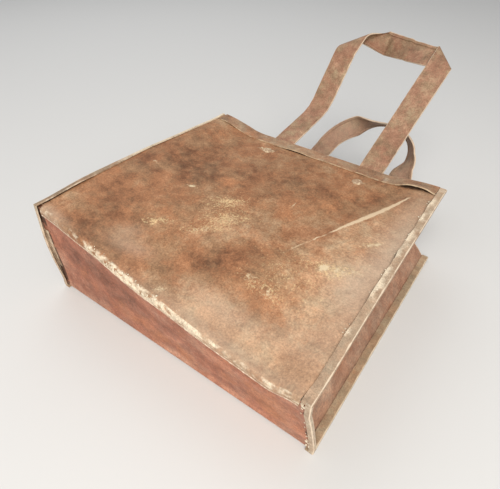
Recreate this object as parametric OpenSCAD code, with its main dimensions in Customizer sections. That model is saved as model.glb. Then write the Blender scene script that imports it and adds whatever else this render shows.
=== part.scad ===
// Hand-made sheet-metal lunch box in the form of a flat-sided carrying bag, lying on its back.
// X runs across the box, Y from the bottom to the mouth, Z from the back panel to the front panel.
// Z = 0 is the surface that the box lies on, and sizes are in millimetres.

/* [Box] */
// Width over the side bindings
box_w = 304; // [250:1:360]
// Height from the bottom to the mouth edge
box_h = 273; // [200:1:330]
// Depth over the side bindings
box_d = 100; // [75:1:140]
// Thickness of the body sheets
sheet_t = 0.8; // [0.6:0.1:1.4]
// Inside radius of the folds at the bottom
fold_r = 3; // [1.5:0.5:6]
// Width of the lap under the front panel at the bottom seam
lap_w = 10; // [8:1:16]
// Height of the front panel's lip over the bottom
lip_h = 8; // [8:0.5:14]
// How far the front panel is pressed in at the mouth
mouth_sag = 13; // [1:1:20]
// Flat margin of the pressed-in part outside the handle feet
sag_margin = 6; // [2:1:12]
// Clearance between sheets that lie on each other
lay_gap = 0.05; // [0.02:0.01:0.1]

/* [Out of square] */
// Shift of the left bottom corner at the back
left_heel_back = [3.7, 1.9, 0]; // [-12:0.1:12]
// Shift of the left bottom corner at the front
left_heel_front = [0, 5.7, 2.5]; // [-12:0.1:12]
// Shift of the left mouth corner at the front
left_mouth_front = [3.6, 0, -1.8]; // [-12:0.1:12]
// Shift of the right bottom corner at the back
right_heel_back = [0, 10.6, 0]; // [-12:0.1:12]
// Shift of the right bottom corner at the front
right_heel_front = [-5.5, 0, -11]; // [-12:0.1:12]
// Shift of the right mouth corner at the front
right_mouth_front = [-7.5, -2.4, -6]; // [-12:0.1:12]
// How far the fold between the front and the bottom is crushed
fold_drop = 12; // [0:0.5:14]
// Length over which the crushed fold runs out into the front panel
fold_run = 60; // [40:5:90]
// How far the front panel bows up along its left edge
left_bow = 5.5; // [0:0.5:10]

/* [Side gussets] */
// Inward fold of a gusset at the mouth
gusset_mouth = 39.5; // [10:0.5:45]
// Inward fold of a gusset at the bottom
gusset_bottom = 7.5; // [1:0.5:12]
// Width of the flange that is turned outwards round a gusset
flange_w = 6.5; // [5:0.5:12]

/* [Bindings and mouth bands] */
// Sheet thickness of the bindings and bands
strip_t = 1.2; // [1.2:0.1:1.6]
// Width of the bands along the mouth
band_w = 16; // [10:1:20]
// Clearance between a band and the panel that it lies on
band_gap = 0.15; // [0.1:0.05:0.3]

/* [Handle straps] */
// Width of a strap
strap_w = 28; // [22:1:34]
// Sheet thickness of a strap
strap_t = 1; // [0.8:0.1:1.4]
// Width of the folded hem along each edge of a strap
hem_w = 4; // [3:0.5:6]
// Clear width between the legs of a handle
handle_gap = 87; // [75:1:100]
// Distance of the handles from the middle of the box
handle_x = 5; // [-10:1:10]
// Length of a strap's tail below the mouth edge
tail_len = 45; // [42:1:60]
// Gap at the bend line between a strap and its tail
bend_gap = 0.3; // [0.2:0.05:0.5]

/* [Front handle] */
// Length of the legs up to the folded corners
front_leg = 142; // [110:1:170]
// Tilt out of the panel's plane
front_tilt = 35; // [28:1:50]
// Sideways lean of the legs
front_lean = 5; // [0:1:8]
// How far the left leg is pressed back at its kink
left_kink = 26; // [0:1:32]
// Rise of the left corner's fold across the strap
left_fold_rise = 24; // [18:1:28]
// How far the strap is pushed up as it rolls over the left corner
left_lift = 16; // [0:1:20]
// Radius of the rolled left corner
left_roll_r = 8; // [4:0.5:12]
// Radius of the tight right corner
right_roll_r = 2.5; // [2.5:0.5:6]
// Twist of the grip bar at its left end
bar_twist = 40; // [0:5:60]

/* [Back handle] */
// Length of the legs up to the arch
back_leg = 88; // [70:1:110]
// Rise of the arch
back_arch = 50; // [40:1:62]
// How far the left leg closes in towards the arch
back_close = 8; // [0:1:12]
// How far the right leg bows outwards
back_bulge = 9; // [0:1:12]
// Tilt out of the panel's plane
back_tilt = 40; // [25:1:42]
// Sideways lean of the legs
back_lean = 12; // [0:1:14]
// Turn of the strap about the top of the arch
back_turn = 20; // [0:1:30]

/* [Rivets and solder] */
// Diameter of a rivet's shank
rivet_d = 4; // [3:0.5:5]
// Diameter of a rivet's head on the outside
rivet_head_d = 11; // [8:0.5:13]
// Thickness of a rivet's head
rivet_head_h = 1; // [0.6:0.1:1.1]
// Diameter of the hammered end on the inside
clench_d = 8; // [6:0.5:10]
// Thickness of the hammered end
clench_h = 1.2; // [0.8:0.1:2]
// Distance of a rivet below the mouth edge
rivet_drop = 33; // [26:1:36]
// Radius of the solder bead under the front panel's lip
solder_r = 1; // [0.6:0.1:1]

/* [Hidden] */
$fn = 48;

// Levels of the sheets, from the lying surface up
back_out = strip_t + lay_gap;
back_in = back_out + sheet_t;
front_out = box_d - strip_t - lay_gap;
front_in = front_out - sheet_t;
mid_z = box_d / 2;

// Limits across the box, on the right-hand side
half_w = box_w / 2;
sheet_edge = half_w - strip_t - lay_gap;
wall_x = sheet_edge - flange_w;
binding_w = half_w - wall_x - sheet_t + lay_gap;
binding_h = 2 * strip_t + 2 * sheet_t + 3 * lay_gap;
band_half = half_w - binding_w - bend_gap;
lap_half = wall_x - sheet_t - lay_gap;
foot_x = (handle_gap + strap_w) / 2;

// Bottom seam: the base sheet's fold lies inside the front panel's fold
base_fold_r = fold_r + sheet_t;
lip_fold_r = base_fold_r + lay_gap;
fold_y = base_fold_r;
fold_z = front_in - lay_gap - base_fold_r;
lip_z = front_out - lip_h;
fold_steps = 8;
// Inset that keeps joined shapes of one sheet from ending on the same faces
nest = 0.02;

// Front panel: flat under the binding, pressed in along the mouth
sag_start_y = lap_w + fold_y;
sag_flat_half = abs(handle_x) + foot_x + strap_w / 2 + sag_margin;
sag_end_half = half_w - binding_w - 2 * sheet_t;
sag_steps = 8;
sag_slope = atan(mouth_sag / (box_h - sag_start_y));

// The pressed-in part fades out half evenly, half in a wave
function sag_across(x) =
    abs(x) <= sag_flat_half ? 1 :
    abs(x) >= sag_end_half ? 0 :
    let (t = (abs(x) - sag_flat_half) / (sag_end_half - sag_flat_half)) 0.75 - t / 2 + cos(180 * t) / 4;
function sag(x, y) = mouth_sag * sag_across(x) * max(0, (y - sag_start_y) / (box_h - sag_start_y));
function sag_stations(limit) =
    let (rise = [for (i = [0 : sag_steps]) sag_flat_half + (sag_end_half - sag_flat_half) * i / sag_steps])
    concat(limit > sag_end_half ? [-limit] : [], [for (i = [sag_steps : -1 : 0]) -rise[i]],
           [for (i = [1 : flat_steps - 1]) sag_flat_half * (2 * i / flat_steps - 1)],
           rise, limit > sag_end_half ? [limit] : []);

// Racking: the corners, the front fold and the left edge are pushed out of square. Along seams and folds each
// station moves as a whole, so sheets that lie on each other stay together, and the handle feet stay put.
flat_steps = 6;
rack_steps = 7;
// Crowding of the rows towards the fold, and where the racking starts to fade as a share of the height
row_crowding = 1.25;
feet_start = 0.4;
// Where the crush of the fold starts and ends, as shares of the half width, and what is left of it at its end
crush_from = -0.9;
crush_to = 0.8;
crush_left_over = 0.3;
rack_low_y = sag_start_y;
rack_high_y = box_h - band_w;
rack_feet_y = box_h - tail_len - 3;
rack_low_z = back_out + base_fold_r + binding_h;
rack_high_z = front_in - mouth_sag - sheet_t;
rack_rows = concat([for (i = [0 : rack_steps])
                       rack_low_y + (rack_feet_y - rack_low_y) * pow(i / rack_steps, row_crowding)],
                   [rack_high_y]);
function share(low, high, v) = min(1, max(0, (v - low) / (high - low)));
function smooth(t) = t * t * (3 - 2 * t);
function shift(x, y, z) =
    let (a = share(-sag_end_half, sag_end_half, x), b = share(rack_low_y, rack_high_y, y),
         c = share(rack_low_z, rack_high_z, z),
         off_feet = 1 - sag_across(x) * smooth(share(rack_low_y + box_h * feet_start, rack_feet_y, y)),
         left = (1 - b) * ((1 - c) * left_heel_back + c * left_heel_front) + b * c * left_mouth_front,
         right = (1 - b) * ((1 - c) * right_heel_back + c * right_heel_front) + b * c * right_mouth_front,
         bow = left_bow * sin(180 * b) * (1 - b) * pow(1 - a, 2),
         crush = fold_drop * smooth(share(sag_end_half * crush_from, 0, x))
             * (1 - (1 - crush_left_over) * smooth(share(sag_end_half * crush_to, sag_end_half, x)))
             * exp(-pow((max(y, rack_low_y) - rack_low_y) / fold_run, 2)))
    off_feet * ((1 - a) * left + a * right + [0, 0, bow * c]) - [0, 0, crush * c];
function racked(p) = p + shift(p[0], p[1], p[2]);
// Points of the right-hand edge, or of the left-hand one before it is mirrored
function edge_shift(flip, y, z) =
    let (s = shift(flip ? -half_w : half_w, y, z)) [flip ? -s[0] : s[0], s[1], s[2]];
function edge_racked(flip, p) = p + edge_shift(flip, p[1], p[2]);

// Bend lines of the two handles, just past the mouth bands
bend_rise = lay_gap + strip_t + strap_t + bend_gap;
front_bend = [box_h + bend_rise * cos(sag_slope) - (lay_gap + strap_t) * sin(sag_slope),
              front_in - mouth_sag - bend_rise * sin(sag_slope) - (lay_gap + strap_t) * cos(sag_slope)];
back_bend = [box_h + bend_rise, back_in + lay_gap + strap_t];

// Straps are swept through stations of an inner edge point, an outer edge point and a face direction,
// in a handle's own axes: across, up from the bend line, and out of the handle's plane.
leg_inner = handle_gap / 2;
leg_outer = leg_inner + strap_w;
roll_steps = 10;
arch_steps = 24;
leg_steps = 8;
kink_step = 4;

// Length of the cut that a rivet hole is made with
drill_len = 4 * (sheet_t + 2 * strap_t);

// One folded corner with its leg, from the foot to the bar: the strap rolls back over a diagonal
function corner_stations(side, roll_r, fold_rise, lift, kink, twist) =
    let (slant = norm([strap_w, fold_rise]),
         along = [-side * strap_w, fold_rise, 0] / slant,
         out = [side * fold_rise, strap_w, 0] / slant,
         low = [side * leg_outer, front_leg, 0],
         high = [side * leg_inner, front_leg + fold_rise, 0],
         rolled = [for (i = [0 : roll_steps])
             let (a = 180 * i / roll_steps,
                  slid = along * fold_rise / strap_w * a * PI / 180,
                  moved = roll_r * (slid + out * sin(a) - [0, 0, 1 - cos(a)])
                      + [0, lift * pow(i / roll_steps, 2), 0])
             [high + moved, low + moved, out * sin(a) + [0, 0, cos(a)]]],
         top = rolled[roll_steps][0] - [side * strap_t, 0, 0])
    concat([for (i = [0 : leg_steps])
                let (u = (front_leg - strap_t) * i / leg_steps,
                     w = -kink * min(i / kink_step, (leg_steps - i) / (leg_steps - kink_step)))
                [[side * leg_inner, u, w], [side * leg_outer, u, w], [0, 0, 1]]],
           rolled,
           [[top, top - strap_w * [0, cos(twist), sin(twist)], [0, sin(twist), -cos(twist)]]]);
function reversed(list) = [for (i = [len(list) - 1 : -1 : 0]) list[i]];
function front_stations() =
    concat(corner_stations(-1, left_roll_r, left_fold_rise, left_lift, left_kink, bar_twist),
           reversed(corner_stations(1, right_roll_r, strap_w, 0, 0, 0)));

// The arched handle: the strap turns edge on near the top and stays so down to the right-hand leg.
// Pairs of the angle round the arch and the turn of the strap there.
arch_turns = [[0, 0], [50, 25], [85, 105], [160, 120], [180, 150]];
function arch_station(middle, run, turn) =
    let (flat = [-cos(turn), -sin(back_turn) * sin(turn), cos(back_turn) * sin(turn)],
         square = flat - (flat * run) * run,
         across = square / norm(square) * strap_w / 2)
    [middle - across, middle + across, cross(run, across) / norm(across)];
arch_half = foot_x - back_close / 2;
function back_stations() =
    concat([for (i = [0 : leg_steps - 1])
               let (t = i / leg_steps)
               arch_station([back_close * t - foot_x, back_leg * t, 0], [0, 1, 0], 0)],
           [for (i = [0 : arch_steps])
               let (a = 180 * i / arch_steps,
                    run = [arch_half * sin(a), back_arch * cos(a), 0],
                    middle = [foot_x - arch_half * (1 + cos(a)), back_leg + back_arch * sin(a), 0])
               arch_station(middle, run / norm(run), lookup(a, arch_turns))],
           [for (i = [leg_steps - 1 : -1 : 0])
               let (t = i / leg_steps)
               arch_station([foot_x + back_bulge * sin(180 * t), back_leg * t, 0], [0, -1, 0], 180)]);

// Section of a strap as [share of the width, height off the face], with its hems below or above
hem_share = hem_w / strap_w;
strap_hems_below = [[1, 1], [1, -1], [1 - hem_share, -1], [1 - hem_share, 0], [hem_share, 0],
                    [hem_share, -1], [0, -1], [0, 1]];
strap_hems_above = [[0, -1], [0, 1], [hem_share, 1], [hem_share, 0], [1 - hem_share, 0],
                    [1 - hem_share, 1], [1, 1], [1, -1]];
function leaned(p, lean) = [p[0] + p[1] * tan(lean), p[1], p[2]];
function strap_sections(stations, section, lean) =
    [for (s = stations) [for (q = section)
        leaned(s[0] * (1 - q[0]) + s[1] * q[0] + s[2] * q[1] * strap_t, lean)]];
front_sections = strap_sections(front_stations(), strap_hems_below, front_lean);
back_sections = strap_sections(back_stations(), strap_hems_above, back_lean);

// Overall length, which centres the part on its origin
function reach(sections, bend, tilt) =
    max([for (s = sections) for (p = s) bend[0] + p[1] * cos(tilt) - p[2] * sin(tilt)]);
tip_y = max(reach(front_sections, front_bend, front_tilt), reach(back_sections, back_bend, back_tilt));
heel_y = -lay_gap - strip_t;
centre_y = (tip_y + heel_y) / 2;

module centred() translate([0, -centre_y, 0]) children();
module across_box(length) rotate([90, 0, 90]) linear_extrude(length, center = true) children();
module mirrored(flip) mirror([flip ? 1 : 0, 0, 0]) children();

// Closed solid through sections with the same number of points, clockwise as seen from the last one.
// Both faces are split along the same diagonals, and the end of a sheet is closed between its two faces.
module swept(sections, sheet = false) {
    n = len(sections[0]);
    last = len(sections) - 1;
    sides = [for (i = [0 : last - 1]) for (j = [0 : n - 1])
        let (a = i * n + j, b = i * n + (j + 1) % n, c = b + n, d = a + n,
             under = sheet ? j >= n / 2 : j < n - 1)
        each under ? [[a, b, d], [b, c, d]] : [[a, b, c], [a, c, d]]];
    ends = sheet
        ? [for (j = [0 : n / 2 - 2]) let (a = j, b = j + 1, c = n - 2 - j, d = n - 1 - j, m = last * n)
            each [[c, b, a], [d, c, a], [a + m, b + m, c + m], [a + m, c + m, d + m]]]
        : [[for (j = [n - 1 : -1 : 0]) j], [for (j = [0 : n - 1]) last * n + j]];
    polyhedron(points = [for (s = sections) each s], faces = concat(sides, ends), convexity = 10);
}

function arc(middle, r, from, to) =
    [for (i = [0 : fold_steps]) middle + r * [cos(from + (to - from) * i / fold_steps),
                                              sin(from + (to - from) * i / fold_steps)]];

// Local axes of the handle feet: origin on the panel's inner face at the mouth edge, Y towards the mouth
module at_front_mouth() centred()
    translate([handle_x, box_h, front_in - mouth_sag]) rotate([-sag_slope, 0, 0]) children();
module at_back_mouth() centred() translate([handle_x, box_h, back_in]) mirror([0, 0, 1]) children();
module at_feet() for (side = [-1, 1]) translate([side * foot_x, 0, 0]) children();
module rivet_holes() at_feet() translate([0, -rivet_drop, 0])
    cylinder(d = rivet_d + 2 * lay_gap, h = drill_len, center = true);

// Sheet or bar across the box with a section of [Y, Z] points
module racked_across(limit, section, sheet = true)
    swept([for (x = sag_stations(limit)) [for (p = section) racked([x, p[0], p[1]])]], sheet);

// Front panel with its lip over the bottom
module front_panel() color("#8a5a3c") difference() {
    centred() {
        edge_rows = concat([fold_y], rack_rows, [box_h]);
        swept([for (x = sag_stations(sheet_edge))
            concat([for (y = edge_rows) racked([x, y, front_out - sag(x, y)])],
                   [for (y = reversed(edge_rows)) racked([x, y, front_in - sag(x, y)])])], sheet = true);
        outer_r = lip_fold_r + sheet_t - nest;
        inner_r = lip_fold_r + nest;
        racked_across(lap_half, concat(
            [[fold_y - outer_r, lip_z]],
            arc([fold_y, fold_z], outer_r, 180, 90),
            [[fold_y + sheet_t, fold_z + outer_r], [fold_y + sheet_t, fold_z + inner_r]],
            arc([fold_y, fold_z], inner_r, 90, 180),
            [[fold_y - inner_r, lip_z]]));
    }
    at_front_mouth() rivet_holes();
}

// Back panel and bottom in one folded sheet, with the lap that the front panel lies on
module base_sheet() color("#7d4a34") difference() {
    centred() {
        racked_across(sheet_edge, concat(
            [[box_h, back_out], [rack_high_y, back_out], [rack_low_y, back_out]],
            arc([fold_y, back_out + base_fold_r], base_fold_r, 270, 180),
            [[0, rack_low_z], [0, rack_high_z], [0, fold_z],
             [sheet_t, fold_z], [sheet_t, rack_high_z], [sheet_t, rack_low_z]],
            arc([fold_y, back_out + base_fold_r], fold_r, 180, 270),
            [[rack_low_y, back_in], [rack_high_y, back_in], [box_h, back_in]]));
        racked_across(lap_half, concat(
            [[nest, fold_z - sheet_t]],
            arc([fold_y, fold_z], base_fold_r - nest, 180, 90),
            [[fold_y + lap_w, fold_z + base_fold_r - nest], [fold_y + lap_w, fold_z + fold_r + nest]],
            arc([fold_y, fold_z], fold_r + nest, 90, 180),
            [[sheet_t - nest, fold_z - sheet_t]]));
    }
    at_back_mouth() rivet_holes();
}

// Side gusset: a wall folded inwards, with flanges turned outwards along three edges
flange_y = sheet_t + lay_gap;
flange_front_z = front_in - lay_gap - sheet_t / 2;
flange_back_z = back_in + lay_gap + sheet_t / 2;
function inward(y) = gusset_bottom + (gusset_mouth - gusset_bottom) * (y - flange_y) / (box_h - flange_y);
function wall_in(y, z) =
    wall_x - inward(y) * min(share(flange_back_z, mid_z, z), share(flange_front_z, mid_z, z));
function gusset_line(y) = concat([[sheet_edge, flange_front_z]],
    [for (z = [flange_front_z, rack_high_z, mid_z, rack_low_z, flange_back_z]) [wall_in(y, z), z]],
    [[sheet_edge, flange_back_z]]);
function left_of(d) = [-d[1], d[0]] / norm(d);
function mitre(line, i) =
    let (last = len(line) - 1,
         a = left_of(line[max(i, 1)] - line[max(i, 1) - 1]),
         b = left_of(line[min(i + 1, last)] - line[min(i + 1, last) - 1]))
    (a + b) / (1 + a * b);
function thickened(line, t) = concat([for (i = [0 : len(line) - 1]) line[i] + mitre(line, i) * t / 2],
                                     [for (i = [len(line) - 1 : -1 : 0]) line[i] - mitre(line, i) * t / 2]);
module gusset(flip) color("#8b5b45") mirrored(flip) centred() difference() {
    union() {
        swept([for (y = reversed(concat([flange_y + nest], rack_rows, [box_h])))
            [for (p = thickened(gusset_line(y), sheet_t)) edge_racked(flip, [p[0], y, p[1]])]], sheet = true);
        rise = sheet_t / 2 - nest;
        swept([for (z = [flange_back_z - rise, flange_back_z, rack_low_z, mid_z, rack_high_z, flange_front_z,
                         flange_front_z + rise])
            let (inner = wall_in(flange_y, z), outer = sheet_edge - nest, high = flange_y + sheet_t)
            [for (p = [[inner, flange_y, z], [inner, high, z], [outer, high, z], [outer, flange_y, z]])
                edge_racked(flip, p)]]);
    }
    translate(edge_shift(flip, 0, 0)) across_box(2 * box_w) translate([fold_y, back_out + base_fold_r])
        difference() {
            translate([-base_fold_r, -base_fold_r]) square(base_fold_r);
            circle(r = fold_r - lay_gap);
        }
}

// Folded strips that hold a panel's edge and a gusset's flange: a channel as [from the side, from the face],
// with mitred ends
channel = [[0, 0], [binding_w, 0], [binding_w, strip_t], [strip_t, strip_t], [strip_t, binding_h - strip_t],
           [binding_w, binding_h - strip_t], [binding_w, binding_h], [0, binding_h]];
module seam_binding(flip, front) color("#a58a6c") mirrored(flip) centred()
    swept([for (row = concat([heel_y], rack_rows, [box_h]))
        [for (q = front ? channel : reversed(channel))
            let (y = row == heel_y ? row + q[1] : row)
            edge_racked(flip, [half_w - q[0], y, front ? box_d - q[1] : q[1]])]]);
module bottom_binding(flip) color("#b39a7e") mirrored(flip) centred()
    swept([for (row = [0, rack_low_z, rack_high_z, box_d])
        [for (q = channel)
            let (z = row == 0 ? q[1] : row == box_d ? row - q[1] : row)
            edge_racked(flip, [half_w - q[0], heel_y + q[1], z])]]);

// Band along the mouth edge, with a lip over the edge
function band_section(x, y_low, z_low, z_high, z_edge) =
    [[x, y_low, z_low + strip_t], [x, box_h + lay_gap + strip_t, z_high + strip_t],
     [x, box_h + lay_gap + strip_t, z_edge], [x, box_h + lay_gap, z_edge],
     [x, box_h + lay_gap, z_high], [x, y_low, z_low]];
module front_mouth_band() color("#95704f") centred()
    swept([for (x = sag_stations(band_half))
        let (level = front_out + band_gap, low = box_h - band_w)
        [for (p = band_section(x, low, level - sag(x, low), level - sag(x, box_h), front_in - sag(x, box_h)))
            racked(p)]], sheet = true);
module back_mouth_band() color("#83593f") centred() mirror([0, 0, 1]) across_box(2 * band_half)
    polygon([for (p = band_section(0, box_h - band_w, -strip_t, -strip_t, -back_in)) [p[1], p[2]]]);

// Handles above their bend lines: the strap, and the rounded lower ends that turn on the bend line
module handle(sections, bend, tilt) centred() translate([handle_x, bend[0], bend[1]]) rotate([tilt, 0, 0]) {
    swept(sections);
    at_feet() rotate([0, 90, 0]) cylinder(r = strap_t, h = strap_w, center = true);
}
module front_handle() color("#96654a") handle(front_sections, front_bend, front_tilt);
module back_handle() color("#845540") handle(back_sections, back_bend, back_tilt);

// Tails of the straps, which lie on the inner faces of the panels
module tails() difference() {
    at_feet() translate([0, lay_gap + strip_t, -lay_gap]) rotate([90, 0, 0])
        linear_extrude(tail_len + lay_gap + strip_t)
            polygon([for (q = strap_hems_below) [(q[0] - 0.5) * strap_w, (q[1] - 1) * strap_t]]);
    rivet_holes();
}
module front_handle_tails() color("#8c5d44") at_front_mouth() tails();
module back_handle_tails() color("#7c503c") at_back_mouth() tails();

// Rivets: a low head on the panel's outer face, the shank, and the hammered end on the tail
module rivet(grip) {
    inner = lay_gap + strap_t;
    rotate_extrude() polygon([[0, -inner - clench_h], [clench_d / 2 - clench_h / 2, -inner - clench_h],
        [clench_d / 2, -inner], [rivet_d / 2, -inner], [rivet_d / 2, grip], [rivet_head_d / 2, grip],
        [rivet_head_d / 2 - rivet_head_h / 2, grip + rivet_head_h], [0, grip + rivet_head_h]]);
}
module rivets(grip) at_feet() translate([0, -rivet_drop, 0]) rivet(grip);
module front_rivets() color("#b9a184") at_front_mouth() rivets(sheet_t * cos(sag_slope));
module back_rivets() color("#a58c70") at_back_mouth() rivets(sheet_t);

// Solder bead in the angle between the bottom and the lower edge of the front panel's lip
module seam_solder() color("#cfc3b0") centred()
    racked_across(lap_half, concat([[0, lip_z]], arc([0, lip_z], solder_r, 270, 180)), sheet = false);

front_panel();
base_sheet();
gusset(true);  // left_gusset
gusset(false);  // right_gusset
seam_binding(true, true);  // front_left_binding
seam_binding(false, true);  // front_right_binding
bottom_binding(true);  // bottom_left_binding
bottom_binding(false);  // bottom_right_binding
seam_binding(true, false);  // back_left_binding
seam_binding(false, false);  // back_right_binding
front_mouth_band();
back_mouth_band();
front_handle();
front_handle_tails();
back_handle();
back_handle_tails();
front_rivets();
back_rivets();
seam_solder();
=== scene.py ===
"""Looks of a hand-made sheet-metal lunch box in the form of a flat carrying bag.

The box lies on its back. Its sheets, folded seam strips and strap handles are built here as thin closed
shells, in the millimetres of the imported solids. One field pushes all but the handles out of square and
dents them. Rivets, seam crust and the solder bead come from geometry nodes, and the rusted steel from
shader node groups.
"""

import logging
import math
from dataclasses import dataclass, field
from enum import Enum
from typing import Sequence

import bmesh
import bpy
import numpy as np
from mathutils import Matrix, Vector


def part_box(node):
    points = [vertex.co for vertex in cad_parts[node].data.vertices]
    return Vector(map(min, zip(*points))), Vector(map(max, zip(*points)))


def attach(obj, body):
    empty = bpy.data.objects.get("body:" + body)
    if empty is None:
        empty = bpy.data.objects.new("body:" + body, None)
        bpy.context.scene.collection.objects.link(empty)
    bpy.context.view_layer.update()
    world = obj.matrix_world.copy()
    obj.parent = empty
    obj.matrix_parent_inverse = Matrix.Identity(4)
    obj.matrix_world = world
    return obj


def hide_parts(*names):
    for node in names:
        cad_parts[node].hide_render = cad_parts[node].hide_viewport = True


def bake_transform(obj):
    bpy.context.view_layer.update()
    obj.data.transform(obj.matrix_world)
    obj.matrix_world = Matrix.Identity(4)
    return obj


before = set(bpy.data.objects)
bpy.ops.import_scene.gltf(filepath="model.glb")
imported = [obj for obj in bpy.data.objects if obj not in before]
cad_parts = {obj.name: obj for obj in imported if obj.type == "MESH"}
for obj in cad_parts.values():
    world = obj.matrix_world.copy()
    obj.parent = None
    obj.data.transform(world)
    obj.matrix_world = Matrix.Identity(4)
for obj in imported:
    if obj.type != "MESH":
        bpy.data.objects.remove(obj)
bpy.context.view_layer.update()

log = logging.getLogger("lunch_box")

Triple = tuple[float, float, float]
Colour = Triple
Grid = np.ndarray

# A place inside the box, which shells have their inner side towards.
INSIDE = (0.0, 140.0, 50.0)
# A distance from a rim, in millimetres, at which no finish shows wear.
FAR_FROM_RIM = 12.0
# About a whole turn, in radians.
FULL_TURN = 6.28


class Mark(str, Enum):
    """Values that a shell carries at its points for its finish to read."""

    RIM = "rim"
    TAN = "tan"
    DARK = "dark"
    ORANGE = "orange"
    SPECK = "speck"
    PALE = "pale"
    DUST = "dust"
    # Painted shade in the gaps beside the seam strips and the mouth bands.
    GRIME = "grime"
    FLECK = "fleck"
    CREASE = "crease"
    RUN = "run"


class Side(Enum):
    """The two sides of the box across X."""

    LEFT = -1
    RIGHT = 1


class Body(str, Enum):
    """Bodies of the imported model."""

    BOX = "box"
    FRONT_HANDLE = "front_handle"
    BACK_HANDLE = "back_handle"


@dataclass(frozen=True)
class BoxSizes:
    """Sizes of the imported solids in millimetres, with Y from the bottom (0) to the mouth."""

    half_width: float = 152.0
    height: float = 273.0
    depth: float = 100.0
    sheet: float = 0.8
    strip: float = 1.2
    strap: float = 1.0
    lay_gap: float = 0.05
    lap: float = 10.0
    lip: float = 8.0
    fold_radius: float = 3.8
    flange: float = 6.5
    mouth_sag: float = 13.0
    sag_margin: float = 6.0
    gusset_mouth: float = 39.5
    gusset_bottom: float = 7.5
    band: float = 16.0
    band_gap: float = 0.15
    strap_width: float = 28.0
    hem: float = 4.0
    handle_gap: float = 87.0
    handle_x: float = 5.0
    tail: float = 45.0
    bend_gap: float = 0.3
    rivet_drop: float = 33.0

    @property
    def heel(self) -> float:
        """Outer face of the bottom strips."""
        return -self.lay_gap - self.strip

    @property
    def back_out(self) -> float:
        """Level of the back panel's outer face."""
        return self.strip + self.lay_gap

    @property
    def back_in(self) -> float:
        """Level of the back panel's inner face."""
        return self.back_out + self.sheet

    @property
    def front_out(self) -> float:
        """Level of the front panel's outer face beside the dished part."""
        return self.depth - self.strip - self.lay_gap

    @property
    def front_in(self) -> float:
        """Level of the front panel's inner face beside the dished part."""
        return self.front_out - self.sheet

    @property
    def sheet_edge(self) -> float:
        """Half width of the panels, inside the seam strips."""
        return self.half_width - self.strip - self.lay_gap

    @property
    def wall_x(self) -> float:
        """Line at which a gusset turns into its flange."""
        return self.sheet_edge - self.flange

    @property
    def binding(self) -> float:
        """Width of a folded seam strip."""
        return self.half_width - self.wall_x - self.sheet + self.lay_gap

    @property
    def band_half(self) -> float:
        """Half length of a mouth band, between the seam strips."""
        return self.half_width - self.binding - self.bend_gap

    @property
    def sag_flat_half(self) -> float:
        """Half width of the part of the front panel that is pressed in evenly, under the handle's feet."""
        return self.handle_x + self.foot_x + self.strap_width / 2 + self.sag_margin

    @property
    def sag_end_half(self) -> float:
        """Half width at which the pressed-in part of the front panel ends."""
        return self.half_width - self.binding - 2 * self.sheet

    @property
    def lap_half(self) -> float:
        """Half width of the lap and the lip at the bottom seam."""
        return self.wall_x - self.sheet - self.lay_gap

    @property
    def fold_z(self) -> float:
        """Height of the centre of the fold between the bottom and the front panel."""
        return self.front_in - self.lay_gap - self.fold_radius

    @property
    def channel(self) -> float:
        """Height of a folded seam strip over the two sheets that it holds."""
        return 2 * self.strip + 2 * self.sheet + 3 * self.lay_gap

    @property
    def foot_x(self) -> float:
        """Distance of a handle's foot from the middle of the handle."""
        return (self.handle_gap + self.strap_width) / 2

    @property
    def sag_start(self) -> float:
        """Distance from the bottom at which the front panel begins to dip."""
        return self.lap + self.fold_radius

    @property
    def sag_slope(self) -> float:
        """Angle of the dished part of the front panel, in radians."""
        return math.atan(self.mouth_sag / (self.height - self.sag_start))

    def dish(self, x: Grid) -> Grid:
        """Share of the dish at places across the box: whole between the handle feet, nothing at the seams."""
        across = np.clip((np.abs(x) - self.sag_flat_half) / (self.sag_end_half - self.sag_flat_half), 0, 1)
        straight, curved = 1 - across, (1 + np.cos(np.pi * across)) / 2
        return (straight + curved) / 2

    def sag(self, x: Grid, y: Grid) -> Grid:
        """How far the front panel is dished.

        Args:
            x: Places across the box.
            y: Places from the bottom to the mouth.

        Returns:
            The drop below the flat panel.
        """
        along = np.clip((y - self.sag_start) / (self.height - self.sag_start), 0, None)
        return self.mouth_sag * self.dish(x) * along


SIZES = BoxSizes()
ORIGIN_Y = -1000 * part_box("base_sheet")[0].y


def ramp(low: float, high: float, value: Grid) -> Grid:
    """Smooth step from 0 at low to 1 at high.

    Args:
        low: Where the step begins.
        high: Where the step ends, which may lie below low.
        value: Places to measure.

    Returns:
        The step at each place.
    """
    t = np.clip((value - low) / (high - low), 0, 1)
    return t * t * (3 - 2 * t)


def between(start: float, full: float, fading: float, gone: float, value: Grid) -> Grid:
    """1 from full to fading, with smooth steps to 0 at start and at gone."""
    return ramp(start, full, value) * ramp(gone, fading, value)


def near_edge(distance: Grid, reach: float) -> Grid:
    """1 at an edge and past it, falling off over a reach."""
    return np.exp(-np.clip(distance, 0, None) / reach)


def bell(value: Grid, middle: float, half: float, power: int = 2) -> Grid:
    """Hump of height 1 round a middle, flatter on top for a higher power."""
    return np.exp(-(((value - middle) / half) ** power))


def to_frame(points: Grid) -> Grid:
    """Points from the box's millimetres in the metres of the frame."""
    return (np.asarray(points, float) - (0, ORIGIN_Y, 0)) / 1000


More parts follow.
